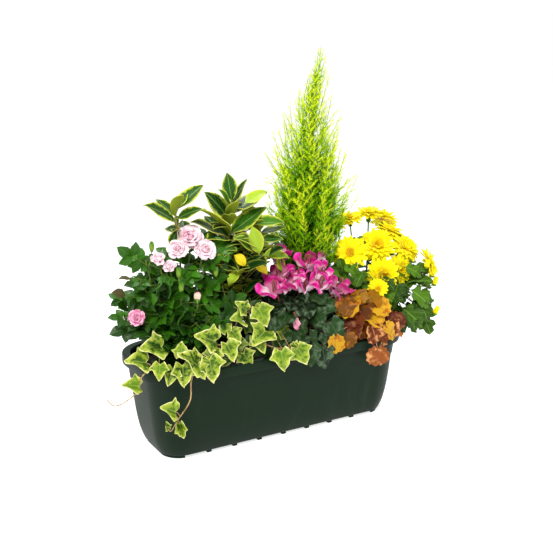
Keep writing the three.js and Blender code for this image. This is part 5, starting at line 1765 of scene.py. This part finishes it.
@dataclass
class RoseBush:
    """The miniature rose: canes, many cut leaves, green buds and its blooms."""

    foot: Point = (-166, -4, 130)
    canes: tuple[Point, ...] = (
        (-236, -10, 262), (-205, 44, 300), (-120, 42, 290), (-92, -38, 250), (-222, -58, 205),
        (-176, 8, 322), (-150, 26, 312), (-215, -34, 286), (-128, -20, 300), (-186, -52, 244),
        (-112, 4, 268), (-240, 22, 244), (-226, -16, 326), (-236, -10, 300), (-160, -58, 226),
        (-198, 12, 300), (-226, -36, 228), (-134, -58, 232), (-170, 50, 262), (-206, -12, 268),
    )
    green_buds: tuple[Point, ...] = (
        (-213, -10, 338), (-116, -40, 292), (-182, -50, 276), (-184, -46, 300), (-152, 30, 368),
    )
    bronze_leaves: Rows = ((-228, -20, 296, -266, -24, 305), (-240, -24, 268, -278, -30, 284))
    leaves_a_cane: int = 11
    shading: Rows = ((160, 0.05), (330, 0.7))
    seed: int = 22
    blooms: tuple[RoseBloom, ...] = (
        RoseBloom("rose_bloom_1", 21, (-0.35, -0.6, 0.72), 1, 1.0, 12.0),
        RoseBloom("rose_bloom_2", 14, (-0.5, -0.7, 0.5), 2, 0.8),
        RoseBloom("rose_bloom_3", 15.5, (-0.2, -0.8, 0.5), 3, 0.9),
        RoseBloom("rose_bloom_4", 10.5, (-0.35, -0.5, 0.8), 4, 0.5),
        RoseBloom("rose_bloom_5", 9.5, (-0.35, -0.7, 0.6), 5, 0.55),
        RoseBloom("rose_bud", 12, (0.05, -0.1, 1.0), 7, 0.0),
        RoseBloom("rose_bloom_deep", 11.5, (-0.5, -0.75, 0.35), 6, 0.8),
    )

    def cut_leaf(
        self, plant: Plant, base: Array, way: Array, length: float, leaflets: int, tone: float
    ) -> None:
        """Adds a leaf of several leaflets on one stalk.

        Args:
            plant: what it is added to.
            base: where its stalk starts.
            way: its direction.
            length: its whole length.
            leaflets: how many, an odd number.
            tone: its shade.
        """
        draw = plant.draw
        facing = UP * 0.5 + TO_VIEW * 0.8 + plant.wandering(0.5)
        x, y, z = basis(way, facing).T
        sag = -z * length * draw.uniform(0.05, 0.2)
        end = base + y * length * 0.55 + sag * 0.5
        plant.stems.add([base, base + y * length * 0.3, end], [0.6, 0.4], 4)
        places = [(end, y, 0.46)]
        for pair in range(leaflets // 2):
            spot = lerp(base, end, 0.9 - 0.42 * pair)
            places += [(spot, unit(x * side + y * 0.45), 0.4 - 0.06 * pair) for side in (-1, 1)]
        for spot, direction, share in places:
            bend = Bend.drawn(draw, (0.2, 0.7), (0.1, 0.35), 0, 0.03, 2.5, 0, (0, 6))
            tip = spot + direction * length * share + sag * 0.4
            shade = float(np.clip(tone + draw.uniform(-0.25, 0.25), 0, 1))
            face = z + plant.wandering(0.15)
            plant.leaf(plant_shapes().leaflet, spot, tip, face, bend, shade, draw.uniform(0.95, 1.15))

    def hides(self, spot: Array, seats: list[Array]) -> bool:
        """Tells whether a leaf about a spot would stand before a bloom.

        Args:
            spot: the middle of the leaf.
            seats: the middles of the blooms.

        Returns:
            Whether it would.
        """
        for bloom, seat in zip(self.blooms, seats):
            ahead = (spot - seat) @ unit(TO_VIEW)
            across = np.linalg.norm(spot - seat - ahead * unit(TO_VIEW))
            if ahead > -8 and across < bloom.radius + 13:
                return True
        return False

    def flower_stem(self, plant: Plant, bloom: RoseBloom, seat: Array) -> Array:
        """Grows the stem of a bloom, with its hip and its sepals.

        Args:
            plant: what it is added to.
            bloom: the bloom.
            seat: the bloom's middle.

        Returns:
            The curve of the stem.
        """
        shapes = plant_shapes()
        axis = unit(vec(*bloom.axis))
        under = seat - axis * bloom.radius * 0.5
        hips = under - axis * 7
        foot = vec(*self.foot)
        middle = 0.55 * hips + 0.45 * foot + UP * 14
        plant.leaves.add(shapes.egg, hips, basis(axis, TO_VIEW), 9, tone=0.6, width=1.3)
        for spoke in spokes(5):
            outward = upright(axis) @ spoke
            if bloom.is_bud:
                spot = under - axis * 4.5 + outward * 2
                axes = basis(unit(outward + axis * 1.4), outward)
                size, arch = 0.95, 0.9
            else:
                spot = under + outward * 1.5
                axes = basis(unit(outward + axis * 0.5), axis)
                size, arch = 0.7, -0.4
            plant.leaves.add(shapes.strap, spot, axes, bloom.radius * size, Bend(arch), tone=1.2, width=1.4)
        return plant.stems.add([foot, middle, hips - axis * 10, under], [1.9, 1.1], 18)

    def green_bud(self, plant: Plant, at: Point, hosts: Array) -> None:
        """Adds a green bud on a stalk from the nearest cane.

        Args:
            plant: what it is added to.
            at: the bud's place.
            hosts: the points of all canes.
        """
        shapes = plant_shapes()
        spot = vec(*at)
        near = hosts[nearest(hosts, spot - UP * 30)]
        plant.stems.add([near, (near + spot) / 2 + vec(2, 0, 4), spot], [0.9, 0.7], 7)
        plant.leaves.add(shapes.egg, spot, basis(UP + vec(-0.1, -0.15, 0), TO_VIEW), 14, tone=1.5)
        for outward in spokes(5):
            axes = basis(UP + outward * 0.42, outward)
            plant.leaves.add(shapes.strap, spot + outward * 1.6, axes, 17, Bend(0.75), tone=1.35, width=0.9)

    def bronze(self, hosts: Array) -> Plant:
        """Returns the bronze young leaves, on stalks from the nearest cane."""
        plant = Plant(self.seed + 1)
        for base, tip in ends(self.bronze_leaves):
            length = float(np.linalg.norm(tip - base)) * 1.2
            self.cut_leaf(plant, base, unit(tip - base), length, leaflets=1, tone=0.5)
            plant.stalk(hosts[nearest(hosts, base)], base, 0.8)
        return plant

    def build(self) -> None:
        """Grows the bush and opens its blooms."""
        plant = Plant(self.seed)
        draw = plant.draw
        pale = PetalFinish(
            "rose_petal", tint(250, 240, 222), tint(248, 222, 230), tint(250, 232, 238), 0.2, 0.85,
            shade=tint(238, 176, 200), streaks=0.3,
        ).material()
        deep = PetalFinish(
            "rose_petal_deep", tint(246, 214, 220), tint(236, 150, 190), tint(248, 200, 220), 0.2, 0.85,
            shade=tint(190, 60, 124),
        ).material()
        cream = PetalFinish(
            "rose_bud_petal", tint(238, 224, 160), tint(244, 214, 190), tint(238, 170, 176), 0.3, 0.9,
            shade=tint(214, 150, 130), streaks=0.4,
        ).material()
        looks = {"rose_bud": (cream, "rose_petal"), "rose_bloom_deep": (deep, "rose_petal_deep")}
        seats = [bloom.build(*looks.get(bloom.node, (pale, "rose_petal"))) for bloom in self.blooms]
        lines = []
        foot = vec(*self.foot)
        for tip in self.canes:
            middle = (foot + vec(*tip)) / 2 + UP * 12 + plant.wandering(10)
            lines.append(plant.stems.add([foot, middle, tip], [2.2, 0.9], 16))
        lines += [self.flower_stem(plant, bloom, seat) for bloom, seat in zip(self.blooms, seats)]
        hosts = np.concatenate(lines)
        for bud in self.green_buds:
            self.green_bud(plant, bud, hosts)
        for k, line in enumerate(lines):
            for i in range(self.leaves_a_cane):
                base = line[int(lerp(0.26, 1.0, (i + 0.5) / self.leaves_a_cane) * (len(line) - 1))]
                around = (i * 7 + k * 3) * GOLDEN_ANGLE + draw.uniform(-0.4, 0.4)
                way = unit(toward(around, draw.uniform(-0.2, 0.7)))
                if self.hides(base + way * 30, seats):
                    continue
                tone = float(np.clip(read_off(self.shading, base[2]) + draw.uniform(-0.1, 0.2), 0, 1))
                self.cut_leaf(plant, base, way, draw.uniform(40, 62), 3 if i % 3 == 0 else 5, tone)
        bark = StemFinish("rose_bark", tint(44, 74, 20), tint(116, 134, 52)).material()
        finish = LeafFinish(
            "rose_leaf", dark=tint(8, 38, 2), light=tint(60, 120, 10), under=tint(70, 116, 46),
            vein=tint(84, 140, 44), young=tint(132, 156, 50), roughness=0.34, gloss=0.25, vein_pairs=7,
            vein_depth=0.3,
        ).material()
        copper = LeafFinish(
            "rose_bronze_leaf", dark=tint(52, 50, 24), light=tint(104, 96, 50), under=tint(120, 90, 70),
            vein=tint(130, 104, 60), roughness=0.4, vein_depth=0.3,
        ).material()
        self.bronze(hosts).dress("rose_leaf", "rose_bronze_leaves", copper, "rose_bronze_stalks", bark)
        plant.dress("rose_leaf", "rose_leaves", finish, "rose_canes", bark, "rose_bush")


@dataclass
class MumBush:
    """The yellow chrysanthemum: stems, lobed leaves, buds and heads.

    Heads are given in the order of their nodes, by radius, axis and layers of petals.
    """

    foot: Point = (216, 6, 130)
    heads: tuple[tuple[float, Point, int], ...] = (
        (32, (-0.5, -0.65, 0.4), 2), (33, (-0.3, -0.75, 0.55), 3), (31, (-0.3, -0.95, 0.1), 3),
        (28, (0.1, -0.9, 0.3), 3), (30, (0.2, -0.6, 0.75), 3), (28, (0.75, -0.5, 0.3), 2),
        (27, (0.2, -0.2, 1.0), 2), (28, (0.4, 0.3, 0.8), 2), (27, (0, 0, 1.0), 2),
        (23, (-0.2, -0.1, 1.0), 2), (21, (-0.3, 0, 1.0), 2), (18, (-0.4, -0.9, 0.1), 2),
    )
    buds: tuple[Point, ...] = (
        (212, 4, 308), (337, -48, 222), (342, -48, 164), (226, 14, 296), (330, -50, 240), (314, -52, 258),
    )
    near_leaves: Rows = (
        (262, -46, 188, 298, -64, 150), (283, -44, 219, 321, -54, 183), (261, -44, 180, 284, -66, 142),
        (238, -50, 176, 258, -66, 146), (286, -40, 253, 318, -50, 254), (204, -44, 226, 242, -60, 206),
        (271, -40, 262, 300, -54, 244), (250, -50, 231, 219, -66, 194), (300, -30, 200, 344, -40, 190),
        (290, -20, 170, 334, -34, 176), (252, -30, 160, 292, -50, 166), (310, -20, 230, 346, -30, 212),
        (190, -40, 240, 170, -56, 212), (210, -46, 246, 236, -60, 228), (186, -30, 262, 160, -44, 240),
        (226, -40, 250, 206, -58, 226), (176, -24, 236, 150, -40, 214), (212, -36, 222, 190, -54, 196),
        (240, -40, 236, 262, -58, 214), (312, -30, 180, 346, -44, 160), (270, -40, 226, 252, -60, 200),
        (172, -26, 234, 134, -32, 248), (176, -22, 252, 144, -28, 276), (160, -30, 226, 118, -36, 242),
        (152, -22, 246, 112, -26, 264), (132, -30, 212, 94, -44, 230), (130, -34, 200, 94, -50, 216),
        (318, -40, 168, 330, -54, 128), (300, -44, 196, 318, -58, 156), (154, -12, 254, 140, -18, 290),
        (140, -16, 246, 126, -20, 276), (276, -26, 208, 300, -34, 244), (262, -24, 196, 286, -30, 226),
        (286, -22, 196, 270, -30, 232),
    )
    leaves: int = 92
    shading: Rows = ((150, 0.15), (300, 0.7))
    seed: int = 52

    def bud(self, plant: Plant, opening: Stack, at: Point, hosts: Array) -> None:
        """Adds an opening bud on a stalk from the nearest stem.

        Args:
            plant: the plant, which gets the stalk and the calyx.
            opening: what the petals are added to.
            at: the bud's place.
            hosts: the points of all stems.
        """
        shapes = plant_shapes()
        spot = vec(*at)
        near = hosts[nearest(hosts, spot - vec(10, 0, 30))]
        line = plant.stems.add([near, near * 0.4 + spot * 0.6 + vec(4, 0, -6), spot], [1.3, 0.9], 8)
        way = unit(unit(line[-1] - line[-3]) * 0.4 + UP)
        plant.leaves.add(shapes.egg, spot - way * 3, basis(way, TO_VIEW), 10, tone=0.8, width=2.0)
        opening.add(shapes.egg, spot, basis(way, TO_VIEW), 13, tone=0.7, width=1.7)
        for spoke in spokes(9):
            outward = upright(way) @ spoke
            foot = spot + outward * 2 + way * 2
            tone = plant.draw.uniform(0.4, 0.9)
            axes = basis(way + outward * 0.5, -outward)
            opening.add(shapes.strap, foot, axes, 15, Bend(-0.9), tone, width=1.3)

    def build(self) -> None:
        """Grows the plant and opens its heads."""
        plant = Plant(self.seed)
        draw = plant.draw
        shapes = plant_shapes()
        yellow = PetalFinish(
            "mum_petal", tint(206, 130, 0), tint(250, 230, 0), tint(254, 242, 6), 0.16, 0.6,
            shade=tint(232, 178, 0), streaks=0.5,
        ).material()
        foot = vec(*self.foot)
        lines = []
        for number, (radius, lean, layers) in enumerate(self.heads, 1):
            seat = MumBloom(f"chrysanthemum_{number}", radius, lean, number, layers).build(yellow)
            axis = unit(vec(*lean))
            under = seat - axis * radius * 0.3
            neck = under - axis * 16
            middle = foot * 0.4 + neck * 0.6 + plant.wandering(6)
            lines.append(plant.stems.add([foot, middle, neck, under], [2.0, 1.3], 20))
            plant.leaves.add(shapes.egg, neck + axis * 5, basis(axis, TO_VIEW), 13, tone=0.6, width=1.5)
        hosts = np.concatenate(lines)
        opening = Stack()
        for at in self.buds:
            self.bud(plant, opening, at, hosts)
        settle(opening.mesh("mum_buds", yellow), "mum_petal")
        for i in range(self.leaves):
            line = lines[(i * 5) % len(lines)]
            base = line[int(lerp(0.15, 0.62, draw.random()) * (len(line) - 1))]
            way = toward(i * GOLDEN_ANGLE + draw.uniform(-0.4, 0.4), draw.uniform(-0.25, 0.4))
            way = unit(way - vec(0, 0.25, 0))
            start = base + way * draw.uniform(5, 12)
            tip = start + way * draw.uniform(30, 50)
            bend = Bend.drawn(draw, (0.3, 0.9), (0, 0.25), 0, 0.03, 2, (-0.2, 0.2))
            tone = float(np.clip(read_off(self.shading, start[2]) + draw.uniform(-0.1, 0.25), 0, 1))
            facing = UP + TO_VIEW * 0.5 + plant.wandering(0.3)
            plant.leaf(shapes.oak_lobed, start, tip, facing, bend, tone)
            plant.stalk(base, start, 0.8)
        for base, tip in ends(self.near_leaves):
            near = hosts[nearest(hosts, base)]
            bend = Bend.drawn(draw, (0.4, 1.1), (0.1, 0.4), 0, 0.06, 2, (-0.3, 0.3))
            facing = UP * 0.9 + TO_VIEW + plant.wandering(0.4)
            plant.leaf(shapes.oak_lobed, base, tip, facing, bend, draw.uniform(0.1, 0.9))
            plant.stems.add([near, (near + base) / 2 + UP * 6, base], [1.2, 0.8], 6)
        finish = LeafFinish(
            "mum_leaf", dark=tint(14, 42, 4), light=tint(86, 130, 18), under=tint(96, 136, 70),
            vein=tint(136, 180, 76), roughness=0.5, vein_pairs=4, vein_depth=0.4,
        )
        stem = StemFinish("mum_stem", tint(58, 100, 34), tint(124, 160, 64)).material()
        plant.dress("mum_leaf", "mum_leaves", finish.material(), "mum_stems", stem, "chrysanthemum_bush")


@dataclass
class Cyclamen:
    """The cyclamen: upswept flowers on hooked stalks, and marbled leaves.

    Flowers on nodes are given by their axes, and the others by place and axis. Leaves have the
    place of their middle and a direction.
    """

    foot: Point = (40, -44, 130)
    flowers: tuple[Point, ...] = (
        (0.1, -0.2, 1), (0.25, 0, 1), (-0.25, -0.2, 1), (-0.1, 0.1, 1), (-0.5, 0, 1), (0.1, 0.2, 1),
        (0.3, -0.3, 1), (0.45, -0.3, 1),
    )
    more: Rows = (
        (76, -30, 288, 0.2, 0.2, 1), (44, -58, 264, 0, -0.3, 1), (72, -62, 266, 0.2, -0.4, 1),
        (112, -58, 246, 0.5, -0.4, 1), (8, -56, 268, -0.3, -0.3, 1),
    )
    leaf_places: Rows = (
        (16, -84, 192, -0.2, -0.5, -0.7), (84, -62, 214, 0.6, -0.5, -0.2), (-6, -74, 214, -0.6, -0.5, -0.2),
        (42, -97, 178, 0, -0.4, -0.9), (66, -100, 168, 0.3, -0.4, -0.9), (92, -84, 192, 0.7, -0.5, -0.5),
        (-16, -86, 182, -0.5, -0.6, -0.6), (62, -62, 236, 0.2, -0.7, 0.1), (30, -78, 226, -0.1, -0.8, -0.2),
        (24, -106, 156, -0.1, -0.3, -1), (54, -84, 206, 0.2, -0.7, -0.5), (70, -18, 232, 0.7, 0.4, 0.1),
        (10, -4, 222, -0.5, 0.6, 0.1), (40, 14, 212, 0.1, 0.9, -0.1), (-20, -40, 226, -0.8, 0, 0),
        (6, -96, 170, -0.3, -0.4, -0.9), (74, -74, 226, 0.4, -0.7, 0), (38, -60, 238, 0, -0.8, 0.2),
        (10, -60, 232, -0.4, -0.7, 0.1), (48, -108, 150, 0.1, -0.3, -1), (78, -96, 186, 0.4, -0.5, -0.7),
        (40, -30, 240, 0.3, 0.3, 0.3), (84, -40, 228, 0.8, 0, 0), (-22, -56, 226, -0.7, -0.3, -0.1),
        (-8, -48, 238, -0.5, -0.3, 0.1), (104, -52, 232, 0.7, -0.3, -0.1), (-20, -20, 250, -0.3, 0.2, 0.7),
        (8, -4, 258, 0, 0.3, 0.9), (36, 0, 262, 0.1, 0.3, 0.9), (66, 0, 260, 0.3, 0.3, 0.9),
        (92, -8, 252, 0.5, 0.2, 0.8), (108, -34, 244, 0.6, 0, 0.6), (-6, -36, 252, -0.3, 0.1, 0.8),
        (-20, -62, 222, -0.1, -0.6, -0.3), (-24, -66, 208, -0.2, -0.6, -0.5),
        (-14, -16, 272, -0.2, 0.1, 0.9),
    )
    petal: float = 31.0
    bud_at: Point = (12, -80, 214)
    seed: int = 41

    def flower(self, lean: Point, number: int) -> Stack:
        """Makes a flower's petals about its mouth.

        Args:
            lean: the axis that the petals sweep up along.
            number: its number, from 0.

        Returns:
            The petals.
        """
        shapes = plant_shapes()
        draw = random.Random(self.seed + number)
        axes = upright(unit(vec(*lean)), draw.uniform(0, 6))
        stack = Stack()
        for i in range(5):
            outward = toward((i + draw.uniform(-0.12, 0.12)) * CIRCLE / 5)
            steep = draw.uniform(0.8, 1.3)
            way = outward * math.cos(steep) + UP * math.sin(steep)
            face = outward * math.sin(steep) - UP * math.cos(steep)
            bend = Bend.drawn(draw, (-0.9, 0.2), 0.15, 0.4, 0.07, 1.6, (0.1, 0.9), (0, 6))
            size = self.petal * draw.uniform(0.88, 1.08)
            local = axes @ basis(way, face)
            tone = draw.uniform(0.1, 0.95)
            foot = axes @ (outward * 3.6)
            stack.add(shapes.reflexed, foot, local, size, bend, tone, draw.uniform(0.9, 1.1))
        stack.add(shapes.egg, axes @ vec(0, 0, 5), basis(-axes[:, 2], TO_VIEW), 8.5, tone=0.1, width=1.8)
        return stack

    def opened(self, petals: Material) -> list[tuple[Array, Array]]:
        """Opens all flowers.

        Args:
            petals: the material of their petals.

        Returns:
            Each flower's mouth and axis.
        """
        mouths = []
        for number, lean in enumerate(self.flowers):
            node = f"cyclamen_flower_{number + 1}"
            spots = np.array([tuple(corner.co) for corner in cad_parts[node].data.vertices]) / MM
            head = spots[spots[:, 2] > spots[:, 2].max() - self.petal]
            stack = self.flower(lean, number)
            mouths.append((stack.centre_on((head.min(axis=0) + head.max(axis=0)) / 2), unit(vec(*lean))))
            settle(stack.mesh(f"{node}_petals", petals), "cyclamen_petal", node)
        for number, (place, lean) in enumerate(ends(self.more)):
            stack = self.flower(lean, number + len(self.flowers))
            mouths.append((stack.centre_on(place), unit(lean)))
            settle(stack.mesh(f"cyclamen_more_{number + 1}", petals), "cyclamen_petal")
        return mouths

    def bud(self) -> Stack:
        """Returns the petals of the drooping bud."""
        stack = Stack()
        petal = plant_shapes().reflexed
        bend = Bend(0.2, cup=0.9, waves=1, twist=0.9)
        for outward in spokes(5):
            axes = basis(vec(0.1, -0.1, -1), outward)
            stack.add(petal, vec(*self.bud_at) + outward, axes, 22, bend, tone=0.8, width=0.8)
        return stack

    def build(self) -> None:
        """Grows the plant."""
        plant = Plant(self.seed)
        draw = plant.draw
        foot = vec(*self.foot)
        magenta = PetalFinish(
            "cyclamen_petal", tint(254, 232, 242), tint(224, 28, 152), tint(238, 104, 190), 0.58, 0.93,
            shade=tint(168, 2, 98), streaks=0.9,
        ).material()
        for number, (mouth, axis) in enumerate(self.opened(magenta)):
            start = foot + toward(number * GOLDEN_ANGLE) * 17
            hook = mouth + axis * self.petal * 0.72
            back = unit((start + vec(0, 30, 0) - mouth) * LEVEL)
            crest = hook + back * 4 + UP * 3
            below = hook + back * 10 - UP * 14
            middle = below * 0.5 + start * 0.5 + vec(draw.uniform(-4, 4), 6, 0)
            plant.stems.add([start, middle, below, crest, hook, mouth + axis * 3], [1.6, 1.2], 26)
        for x, y, z, *way in self.leaf_places:
            direction = unit(unit(vec(*way)) + plant.wandering(0.1) + vec(0, 0.1, -0.35))
            length = draw.uniform(34, 46)
            base = vec(x, y, z) - direction * 0.45 * length
            tip = base + direction * length
            bend = Bend.drawn(draw, (0.3, 1.0), (-0.3, 0.4), 0, 0.06, 2.5, 0, (0, 6))
            facing = vec(-0.25, -0.7, 0.75) + plant.wandering(0.6)
            plant.leaf(plant_shapes().heart, base, tip, facing, bend, draw.random())
            root = foot + plant.wandering(5) * LEVEL
            plant.stems.add([root, (foot + base) / 2 + UP * 14, base + direction * 4], [1.4, 1.0], 12)
        end = vec(*self.bud_at)
        plant.stems.add([foot, (foot + end) / 2 + UP * 34, end + vec(-4, 0, 10), end], [1.3, 1.0], 16)
        pink = PetalFinish(
            "cyclamen_bud_petal", tint(232, 196, 190), tint(240, 170, 196), tint(228, 120, 170), 0.3, 0.85
        ).material()
        settle(self.bud().mesh("cyclamen_bud", pink), "cyclamen_petal")
        finish = LeafFinish(
            "cyclamen_leaf", dark=tint(8, 22, 6), light=tint(32, 60, 20), under=tint(60, 50, 40),
            vein=tint(80, 112, 78), blotch=tint(80, 100, 74), roughness=0.4, veins=Veins.PALM, vein_depth=0.3,
        )
        stem = StemFinish("cyclamen_stalk", tint(112, 44, 48), tint(164, 96, 84)).material()
        plant.dress(
            "cyclamen_leaf", "cyclamen_foliage", finish.material(), "cyclamen_stalks", stem, "cyclamen_leaves"
        )


@dataclass(frozen=True)
class Heuchera:
    """The heuchera: lobed leaves of one colour, each on a wiry stalk.

    Leaves have the place of their middle, a direction and a length.
    """

    node: str
    finish: LeafFinish
    places: Rows
    foot: Point
    seed: int
    # The lowest tone paints a leaf almost wholly dark, as a leaf in painted shade.
    tones: tuple[float, ...] = (-0.5, 0.15, 0.4, 0.7, 1.0)
    hanging_below: float = -0.95

    def build(self, stalk: Material) -> None:
        """Grows the leaves.

        Args:
            stalk: the material of the stalks.
        """
        plant = Plant(self.seed)
        draw = plant.draw
        foot = vec(*self.foot)
        for x, y, z, *way, size in self.places:
            direction = unit(unit(vec(*way)) + plant.wandering(0.15) + vec(0, 0.25, -0.5))
            length = size * draw.uniform(0.98, 1.12)
            base = vec(x, y, z) - direction * 0.45 * length
            tip = base + direction * length
            bend = Bend.drawn(draw, (0.2, 0.9), (0, 0.3), 0.2, 0.045, 2, (-0.3, 0.3), (0, 6))
            facing = vec(-0.3, -0.75, 0.7) + plant.wandering(0.5)
            tone = draw.choice(self.tones)
            if way[2] < self.hanging_below:
                bend, facing, tone = Bend(0.3, 0.1, 0.1, 0.03), TO_VIEW, 0.35
            plant.leaf(plant_shapes().round_lobed, base, tip, facing, bend, tone)
            root = foot + plant.wandering(3) * LEVEL
            over = vec((foot[0] + x) / 2, max(y * 0.9, -96), max(z + 14, 186))
            plant.stems.add([root, (root + over) / 2 + UP * 8, over, base + direction * 5], [1.3, 0.8], 16)
        leaf = self.finish.material()
        plant.dress(self.node, f"{self.node}_leaves", leaf, f"{self.node}_stalks", stalk, self.node)


AMBER = Heuchera(
    "heuchera_amber",
    LeafFinish(
        "heuchera_amber_leaf", dark=tint(84, 42, 6), light=tint(202, 154, 30), under=tint(170, 116, 60),
        vein=tint(120, 62, 16), blotch=tint(166, 98, 16), roughness=0.45, veins=Veins.PALM, vein_depth=0.35,
    ),
    (
        (122, -72, 214, -0.2, -0.7, 0.2, 46), (178, -62, 218, 0.5, -0.6, 0.3, 42),
        (200, -62, 190, 0.8, -0.6, -0.2, 40), (138, -88, 182, 0.1, -0.8, -0.3, 44),
        (104, -96, 168, -0.4, -0.6, -0.6, 34), (166, -84, 190, 0.3, -0.8, 0, 40),
        (150, -60, 226, 0.1, -0.8, 0.3, 38), (186, -78, 206, 0.4, -0.7, 0.1, 36),
        (111, -80, 222, -0.3, -0.6, -0.3, 36), (143, -80, 205, 0.1, -0.7, -0.4, 38),
        (175, -70, 222, 0.3, -0.6, -0.2, 36), (195, -96, 168, 0.6, -0.4, -0.6, 34),
        (74, -104, 166, -0.3, -0.3, -0.9, 34), (166, -80, 178, 0.1, -0.5, -0.8, 36),
    ),
    foot=(136, -50, 130),
    seed=71,
)

RED = Heuchera(
    "heuchera_red",
    # Its light blotches towards the edges are partly the leaf's own colour, partly painted highlight.
    LeafFinish(
        "heuchera_red_leaf", dark=tint(84, 30, 12), light=tint(204, 118, 44), under=tint(184, 116, 84),
        vein=tint(124, 56, 28), blotch=tint(212, 150, 92), roughness=0.45, veins=Veins.PALM, vein_depth=0.3,
    ),
    (
        (150, -70, 202, 0.1, -0.9, 0.1, 40), (180, -90, 168, 0.5, -0.8, -0.4, 40),
        (206, -84, 170, 0.8, -0.6, -0.3, 36), (160, -112, 133, 0.1, -0.1, -1, 37),
        (156, -100, 170, 0.1, -0.7, -0.6, 34), (240, -62, 158, 0.9, -0.3, -0.3, 36),
        (112, -82, 190, -0.5, -0.7, -0.1, 34), (222, -80, 176, 0.8, -0.4, -0.2, 34),
        (120, -88, 176, -0.2, -0.7, -0.4, 36), (192, -70, 184, 0.6, -0.6, -0.1, 34),
        (127, -84, 193, 0.0, -0.6, -0.5, 38), (149, -88, 162, -0.1, -0.5, -0.8, 36),
        (197, -80, 186, 0.5, -0.5, -0.4, 36), (170, -96, 158, 0.2, -0.4, -0.8, 34),
    ),
    foot=(150, -46, 130),
    seed=72,
)


# ------------------------------------------------------------------ studio


@dataclass
class Studio:
    """A pale floor, soft lights and the camera."""

    aim: Point = (20.8, 0, 266.9)
    azimuth: float = -30.3
    elevation: float = 13.7
    distance: float = 1481.4
    lens: float = 55.33
    ambient: float = 0.6
    glow: float = 0.72

    def floor(self) -> None:
        """Lays the pale floor."""
        piece = primitive(bpy.ops.mesh.primitive_plane_add, size=60)
        piece.name = "studio_floor"
        graph = Graph("floor_paper", 0.9)
        shade = graph.ramp(graph.noise(2.0), 0.2, 0.8)
        graph.set_shader("Emission Color", (1, 1, 1, 1))
        graph.set_shader("Emission Strength", self.glow)
        piece.data.materials.append(graph.finish(graph.mix(shade, (0.5, 0.5, 0.5), (0.53, 0.53, 0.53))))

    def lamp(self, name: str, place: Point, power: float, size: float, colour: Colour = (1, 1, 1)) -> None:
        """Adds a soft lamp that looks at the box.

        Args:
            name: its name.
            place: where it hangs, in metres.
            power: in watts.
            size: its width, in metres.
            colour: of its light.
        """
        data = bpy.data.lights.new(name, "AREA")
        data.energy = power
        data.shape = "DISK"
        data.size = size
        data.color = colour
        lamp = bpy.data.objects.new(name, data)
        bpy.context.scene.collection.objects.link(lamp)
        lamp.location = place
        look = Vector(self.aim) * MM - Vector(place)
        lamp.rotation_euler = look.to_track_quat("-Z", "Y").to_euler()

    def lights(self) -> None:
        """Hangs the lamps and sets the room's light, which is brighter to the camera than to the box."""
        self.lamp("key", (-1.9, -1.9, 2.6), 105, 1.3, (1.0, 0.985, 0.95))
        self.lamp("fill", (2.3, -2.0, 1.4), 26, 2.0, (0.95, 0.98, 1.0))
        self.lamp("top", (0.2, 1.2, 2.6), 55, 1.6)
        world = bpy.context.scene.world or bpy.data.worlds.new("room")
        bpy.context.scene.world = world
        world.use_nodes = True
        tree = world.node_tree
        background = tree.nodes["Background"]
        background.inputs[0].default_value = (1.0, 1.0, 1.0, 1.0)
        path = tree.nodes.new("ShaderNodeLightPath")
        strength = tree.nodes.new("ShaderNodeMapRange")
        strength.inputs["To Min"].default_value = self.ambient
        strength.inputs["To Max"].default_value = 1.0
        tree.links.new(path.outputs["Is Camera Ray"], strength.inputs["Value"])
        tree.links.new(strength.outputs[0], background.inputs[1])

    def camera(self) -> None:
        """Places the camera."""
        data = bpy.data.cameras.new("camera")
        data.lens = self.lens
        data.sensor_width = 36
        camera = bpy.data.objects.new("camera", data)
        bpy.context.scene.collection.objects.link(camera)
        azimuth = math.radians(self.azimuth)
        elevation = math.radians(self.elevation)
        flat = math.cos(elevation)
        away = Vector((math.sin(azimuth) * flat, -math.cos(azimuth) * flat, math.sin(elevation)))
        camera.location = Vector(self.aim) * MM + away * self.distance * MM
        camera.rotation_euler = (-away).to_track_quat("-Z", "Y").to_euler()
        bpy.context.scene.camera = camera

    def build(self) -> None:
        """Sets up the studio."""
        self.floor()
        self.lights()
        self.camera()
        bpy.context.scene.view_settings.view_transform = "Standard"


def main() -> None:
    """Builds the window box, piece by piece, in its studio."""
    logging.basicConfig(level=logging.INFO, format="%(message)s")
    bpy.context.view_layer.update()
    Studio().build()
    Trough().build()
    Compost().build()
    Cypress().build()
    ivy_leaf = LeafFinish(
        "ivy_leaf", dark=tint(28, 62, 8), light=tint(88, 124, 22), under=tint(130, 146, 60),
        vein=tint(176, 196, 96), margin=tint(180, 190, 74), margin_from=0.82, margin_soft=0.2, ragged=1.0,
        patch=tint(134, 158, 44), rim=tint(236, 234, 170), roughness=0.4, veins=Veins.PALM, vein_depth=0.3,
    ).material()
    trail = StemFinish("ivy_trail", tint(140, 104, 66), tint(190, 158, 110)).material()
    IVY_LEFT.build(ivy_leaf, trail)
    IVY_MIDDLE.build(ivy_leaf, trail)
    Shrub().build()
    RoseBush().build()
    MumBush().build()
    Cyclamen().build()
    wire = StemFinish("heuchera_stalk", tint(120, 52, 40), tint(196, 130, 100)).material()
    AMBER.build(wire)
    RED.build(wire)


if __name__ == "__main__":
    main()
